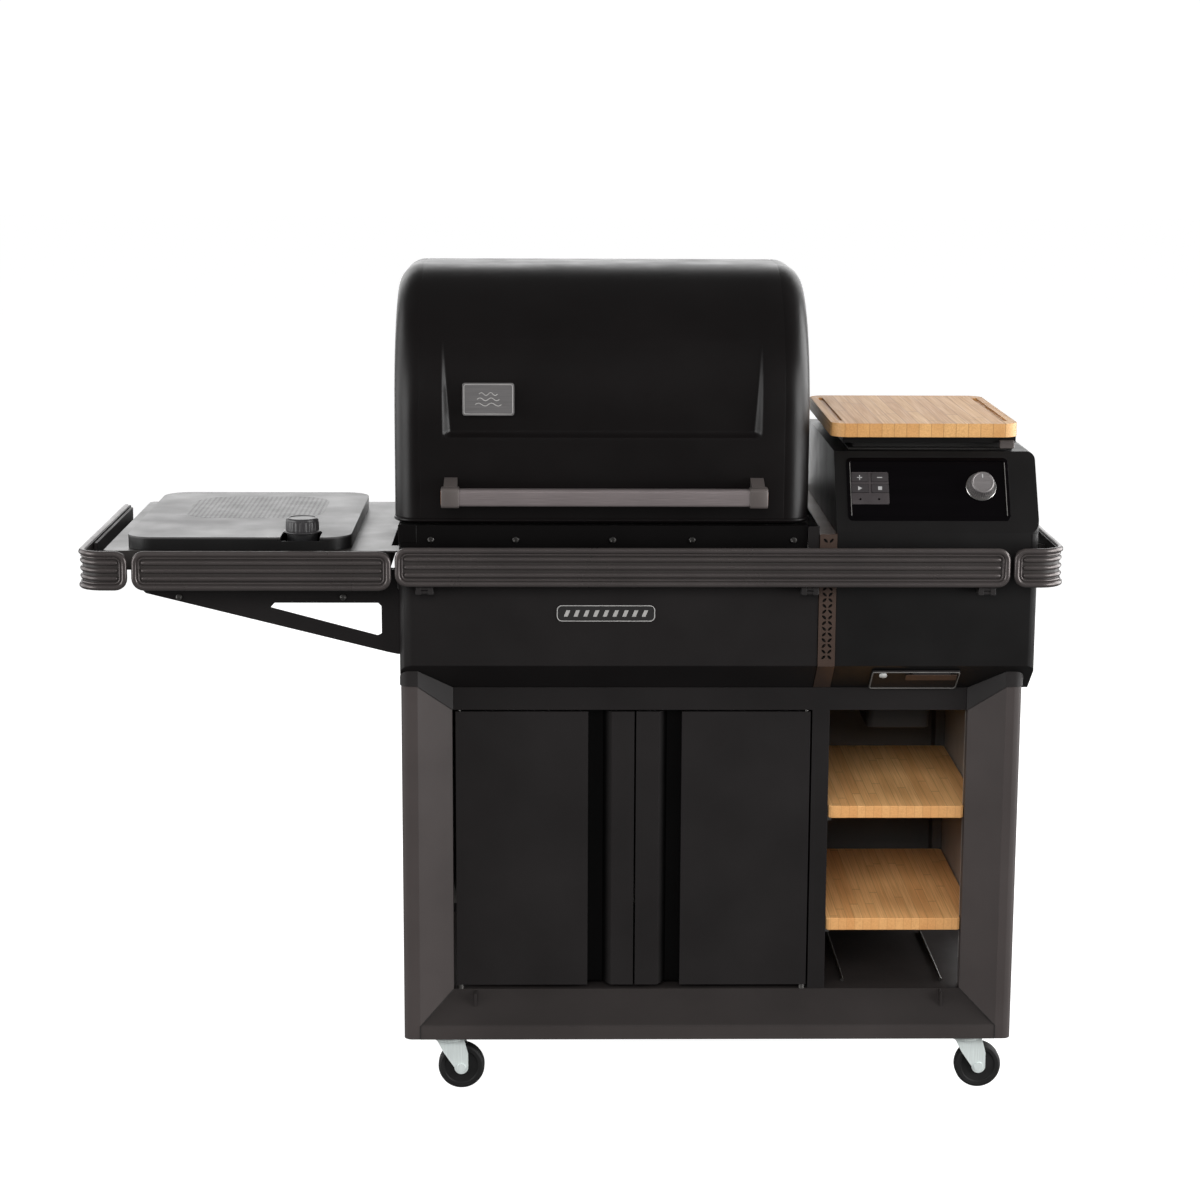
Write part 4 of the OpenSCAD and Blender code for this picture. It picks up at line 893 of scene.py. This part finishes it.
def make_handle():
    lo, hi = box_mm("lid_handle")
    s = Shape()
    n = 20
    section = round_rect(lo[1], lo[2], hi[1], hi[2], 4.5, 4)
    s.loft([[(lo[0] + (hi[0] - lo[0]) * k / n, u, v) for u, v in section] for k in range(n + 1)])
    s.piece("handle_bar", HANDLE, "lid", None, ("lid_handle",), 40)
    blo, bhi = box_mm("handle_brackets")
    caps = Shape()
    discs = Shape()
    for x0, out in ((blo[0], -1), (bhi[0] - 28, 1)):
        x1 = x0 + 28
        shell = round_rect(-316.5, 954.5, -290, 985.5, 5, 4)
        inner = [((u + 303) * 0.94 - 303, (v - 970) * 0.94 + 970) for u, v in shell]
        rings = [inner, shell, shell, inner]
        xs = (x0 + 0.4, x0 + 1.8, x1 - 1.8, x1 - 0.4)
        caps.loft([[(x, u, v) for u, v in ring] for x, ring in zip(xs, rings)])
        # Neck that rises from the cap back to the lid
        neck = [(-302, 958, 986), (-288, 962, 990), (-276, 965, 993), (-265.5, 966, 995)]
        caps.loft([[(x0 + 4, y, a), (x1 - 4, y, a), (x1 - 4, y, b), (x0 + 4, y, b)] for y, a, b in neck])
        face = x0 + 0.4 if out < 0 else x1 - 0.4
        disc = round_rect(-313, 958, -293.5, 982, 5, 4)
        discs.loft([[(face + out * d, (u + 303) * k - 303, (v - 970) * k + 970) for u, v in disc]
                    for d, k in ((-0.5, 1.0), (0.3, 1.0), (0.6, 0.94))])
    caps.piece("handle_end_caps", BRACKET, "lid", None, ("handle_brackets",), 40)
    discs.piece("handle_copper_discs", COPPER, "lid", "handle_metal")


make_handle()

# ---------------------------------------------------------------- nodes refined from the CAD

for node, material, width in (
        ("chamber_shell", BODY, 1.6), ("front_ledge", LEDGE, 0.6), ("hopper_shell", HOPPER, 1.6),
        ("gussets", BODY, 0.8), ("hopper_lid", HOPPER, 1.8),
        ("cleanout_door", BODY, 0.8), ("base_frame", BASE, 1.2), ("front_left_leg", CART, 1.2),
        ("front_right_leg", CART, 1.2), ("rear_posts", FRAME_DARK, 1.0),
        ("leg_collars", COLLAR, 0.7),
        ("cabinet_frame", FRAME_DARK, 1.0), ("left_door", DOOR, 1.2), ("right_door", DOOR, 1.2),
        ("cutting_board", BOARD, 3.0), ("wood_shelves", SHELF_WOOD, 1.5), ("side_shelf", SHELF_TOP, 1.0),
        ("burner_unit", GLASS, 0.8), ("control_panel", GLOSS, 0.5), ("keypad", KEYPAD, 0.4),
        ("grease_keg", KEG, 1.2), ("power_inlet", PLASTIC, 0.6), ("fan_impeller", PLASTIC, 0.3),
        ("hopper_bin", BIN, 0.8), ("drip_tray", TRAY, 0.8), ("heat_baffle", STEEL, 0.6),
        ("auger_drive", STEEL, 0.6), ("vent_band", BRONZE, 0.3)):
    refine(node, material, width)
for i in range(1, 5):
    refine(f"button_{i}", KEY, 0.5)
    refine(f"fork_{i}", ZINC, 0.6)
    paint(f"wheel_{i}", TYRE)
paint("cabinet_panels", PANEL)
paint("compartment_rails", STEEL)
paint("hinge_hardware", STEEL)
paint("fire_pot", IRON)
paint("exhaust_duct", BODY)
paint("cooking_grates", GRATE)
paint("auger", STEEL)
paint("fan_housing", PLASTIC)
refine("burner_cover", COVER, 1.5, 3)

# ---------------------------------------------------------------- small parts

CREASE_Z, SLOPE_RUN, HOPPER_TOP, BODY_FRONT = 914.0, 70.0, 1030.0, -285.0
KNOB_X, KNOB_Y = [(a + b) / 2 for a, b in zip(*box_mm("burner_knob"))][:2]
SLOPE = math.atan2(HOPPER_TOP - CREASE_Z, SLOPE_RUN)


def on_slope(x, s, h):
    """A point of the control slope: s up the slope and h out of it."""
    return Vector((x, BODY_FRONT + s * math.cos(SLOPE) - h * math.sin(SLOPE),
                   CREASE_Z + s * math.sin(SLOPE) + h * math.cos(SLOPE)))


def make_dial():
    """Turned ring, fluted cap and pointer line."""
    x, s = 631.5, 76.0
    normal = (0, -math.sin(SLOPE), math.cos(SLOPE))
    ring = Shape()
    profile = [(0, 22.5), (0.2, 23.4), (2.0, 23.4), (2.6, 22.8), (2.6, 18.0)]
    ring.lathe(on_slope(x, s, -1.0), normal, profile, 64)
    ring.piece("dial_ring", DIAL_RING, "dial", None, ("control_dial",))
    cap = Shape()
    rings = []
    for h, r in ((1.0, 19.4), (15.5, 18.0), (18.4, 17.4), (19.5, 16.2), (19.5, 15.0), (18.9, 14.2)):
        flute = 0.45 if 1.0 <= h <= 15.5 else 0.0
        rings.append([on_slope(x + (r + flute * math.cos(36 * a)) * math.cos(a),
                               s + (r + flute * math.cos(36 * a)) * math.sin(a), h)
                      for a in (2 * math.pi * k / 144 for k in range(144))])
    cap.loft(rings)
    cap.piece("dial_cap", DIAL_CAP, "dial", SLOT_OF["control_dial"])
    mark = Shape()
    mark.loft([[on_slope(x + u, s + v, h) for u, v in ((-0.9, 7), (0.9, 7), (0.9, 13.5), (-0.9, 13.5))]
               for h in (18.6, 19.2)])
    mark.piece("dial_pointer", ICON, "dial", SLOT_OF["control_dial"])


def make_icons():
    """Plain signs on the keys, and the bright side edges of the panel."""
    spots = ((444, 91), (475, 91), (444, 73), (475, 73))
    signs = (
        [[(-4, -0.7), (4, -0.7), (4, 0.7), (-4, 0.7)], [(-0.7, -4), (0.7, -4), (0.7, 4), (-0.7, 4)]],
        [[(-4, -0.7), (4, -0.7), (4, 0.7), (-4, 0.7)]],
        [[(-3, -3.5), (3.5, 0), (-3, 3.5)]],
        [[(-3, -3), (3, -3), (3, 3), (-3, 3)]])
    for i, ((x, s), shapes) in enumerate(zip(spots, signs), 1):
        sign = Shape()
        for outline in shapes:
            sign.prism(outline, lambda u, v, side: on_slope(x + u, s + v, 0.68 if side else 0.5))
        sign.piece(f"key_sign_{i}", ICON, f"key_{i}", SLOT_OF[f"button_{i}"])
    rim = Shape()
    for x in (429.5, 669.5):
        rim.tube([on_slope(x, v, 1.0) for v in (27, 45, 63, 81, 99, 116)], 0.6, 6)
    rim.piece("panel_rim", HUB, "cart", SLOT_OF["control_panel"])


def make_fasteners():
    """Ringed screws, rail clips and the rods behind the rails."""
    screws = Shape()
    heads = [(x, BODY_FRONT + 5, 900.5) for x in (-217, -87, 62, 184, 340)]
    heads += [(x, -259.5, 807) for x in (-607, -354)]
    for head in heads:
        profile = [(0, 5.0), (1.6, 5.0), (2.6, 4.3), (2.9, 3.2), (1.4, 2.4), (1.4, 1.0)]
        screws.lathe(head, (0, -1, 0), profile, 24)
    screws.piece("ringed_screws", SCREW, "cart", None, ("fasteners",))
    clips = Shape()
    bottom = RAIL_TOP - RAIL_H
    clip_places = (-226, 364, 636)
    for x in clip_places:
        for half in (-1, 1):
            clips.block((x + half * 9 - 4, -309, bottom - 13), (x + half * 9 + 4, -285, bottom - 0.5))
        clips.block((x - 13, -308, bottom - 6), (x + 13, -285, bottom - 1))
        clips.lathe((x - 14, -304, bottom - 10), (1, 0, 0), [(0, 3.4), (28, 3.4)], 16)
    rods = [((x, -307, 874), (x, -285, 874)) for x in clip_places]
    rods += [((x, -307, 860), (x, -262, 860)) for x in (-610, -360)]
    rods += [((-745, y, 860), (-722, y, 860)) for y in (-180, 120)]
    rods += [((718, y, 874), (745, y, 874)) for y in (-180, 120)]
    for a, b in rods:
        clips.tube([a, b], 5.0, 16)
    clips.block((-744, -210, 858), (-739, 150, 883))
    bevel(clips.piece("rail_clips", COLLAR, "cart", SLOT_OF["fasteners"]), 0.8)


def perforated():
    """Cover paint with rows of small long holes, darker and duller than the sheet round them."""
    n = Nodes("cover_perforated")
    offsets = []
    for which, pitch in ((0, 0.0078), (1, 0.0105)):
        step = n.math("SUBTRACT", n.math("FRACT", n.math("DIVIDE", n.axis(which), pitch)), 0.5)
        offsets.append(n.math("MULTIPLY", step, step))
    hole = n.math("LESS_THAN", n.math("ADD", offsets[0], n.math("MULTIPLY", offsets[1], 0.55)), 0.07)
    base = n.mix(n.math("MULTIPLY", hole, 0.8), srgb(64, 63, 63), srgb(14, 14, 14))
    n.set(Base_Color=base, Roughness=n.span(n.noise(30.0), 0.3, 0.7, 0.36, 0.44),
          Specular_IOR_Level=n.span(hole, 0.0, 1.0, 0.46, 0.2),
          Normal=n.bump(n.math("SUBTRACT", 1.0, hole), 0.5, 0.0003))
    return n.mat


def make_hob_parts():
    """Perforated area and notch cheeks of the side burner's cover, and its skirted knob."""
    top = box_mm("burner_cover")[1][2]
    s = Shape()
    outline = round_rect(-626, -75, -403, 153, 60, 10)
    s.loft([[(u, v, z) for u, v in outline] for z in (top - 0.6, top + 0.12)])
    s.piece("cover_vent_plate", perforated(), "hob_cover", SLOT_OF["burner_cover"])
    sheet = Shape()
    sheet.block((-638, -54, top - 0.8), (-407, 159, top + 0.05))
    sheet.piece("cover_sheet", COVER, "hob_cover", SLOT_OF["burner_cover"])
    x0, y0 = KNOB_X, KNOB_Y
    front = box_mm("burner_cover")[0][1]
    arcs = [[(x0 + r * math.cos(a), y0 + r * math.sin(a)) for a in (math.pi * k / 16 for k in range(17))]
            for r in (36.2, 30.5)]
    outline = [(x0 + 36.2, front + 1.0)] + arcs[0] + [(x0 - 36.2, front + 1.0), (x0 - 30.5, front + 1.0)]
    outline += arcs[1][::-1] + [(x0 + 30.5, front + 1.0)]
    cheeks = Shape()
    cheeks.prism(outline, lambda u, v, side: (u, v, top if side else top - 6))
    cheeks.piece("cover_notch_cheeks", COVER, "hob_cover", SLOT_OF["burner_cover"])
    lo, hi = box_mm("burner_knob")
    deck = hi[2] - 45
    foot = Shape()
    profile = [(lo[2], 4.5), (deck + 4.6, 4.5), (deck + 4.6, 24), (deck + 22.5, 24)]
    foot.lathe((x0, y0, 0), (0, 0, 1), profile, 48)
    foot.piece("knob_neck", PLASTIC, "hob_knob", None, ("burner_knob",))
    cap = Shape()
    rings = []
    for h, r, flute in ((22.2, 23.5, 0), (22.2, 28, 0), (23.4, 29, 0), (24.6, 28.6, 0), (25.6, 25.6, 0.5),
                        (38, 25.2, 0.5), (40, 24.8, 0), (40.6, 25.3, 0), (43.4, 24.6, 0), (45, 22.6, 0),
                        (45, 20.8, 0), (44.2, 20, 0)):
        rings.append([(x0 + (r + flute * math.cos(24 * a)) * math.cos(a),
                       y0 + (r + flute * math.cos(24 * a)) * math.sin(a), deck + h)
                      for a in (2 * math.pi * k / 144 for k in range(144))])
    cap.loft(rings)
    cap.piece("knob_cap", KNOB_PAINT, "hob_knob", SLOT_OF["burner_knob"])


def make_gaps():
    """Dark lines standing for the shade in the joints between the base and the legs (painted shade), and the
    clean-out door's rim, tab and lamp.
    """
    # Painted shade: thin dark tubes along the mitre gaps between the base and the legs stand for the shade in
    # them.
    gaps = Shape()
    for x0, x1 in ((-240, -188), (677, 625)):
        gaps.tube([(x0, -270.2, 92), (x0, -270.2, 113), (x1, -225.2, 160)], 0.9, 8)
    gaps.piece("base_joint_shade_lines", PAINTED_SHADE_BLACK, "cart", SLOT_OF["base_frame"])
    under = math.pi - math.atan2(47.0, 60.0)
    along, out = Vector((0, math.cos(under), math.sin(under))), Vector((0, -math.sin(under), math.cos(under)))

    def place(x, s, h):
        """A point of the body's slanted underside: s up the slope and h out of it."""
        return Vector((x, -225, 657)) + along * s + out * h
    rim = Shape()
    rim.tube([place(u, v, 4.2) for u, v in round_rect(467.5, 5.5, 602.5, 62.5, 4, 5)], 1.1, 8, closed=True)
    rim.piece("cleanout_rim", HUB, "chute_door", SLOT_OF["cleanout_door"])
    tab = Shape()
    tab.loft([[place(u, v, h) for u, v in round_rect(519, 45, 598, 63, 3, 4)] for h in (8.6, 9.4)])
    tab.piece("cleanout_tab", BRONZE, "chute_door", SLOT_OF["cleanout_door"])
    lamp = Shape()
    lamp.lathe(place(484, 54, 4), out, [(0, 6), (3, 6), (4.5, 4), (4.8, 2)], 24)
    lamp.piece("cleanout_button", LAMP, "chute_door", SLOT_OF["cleanout_door"])
    latch = Shape()
    latch.block((664, -213, 1034), (687, -204, 1047))
    bevel(latch.piece("hopper_latch", BRACKET, "hopper_cover", SLOT_OF["hopper_lid"]), 1.5)
    # Painted shade: a dark sheet behind the vent band, so that its holes show dark.
    backing = Shape()
    backing.block((382, -279, 712), (405, -277, 908))
    backing.piece("band_shade_backing", PAINTED_SHADE_BLACK, "cart", SLOT_OF["vent_band"])


make_dial()
make_icons()
make_fasteners()
make_hob_parts()
make_gaps()
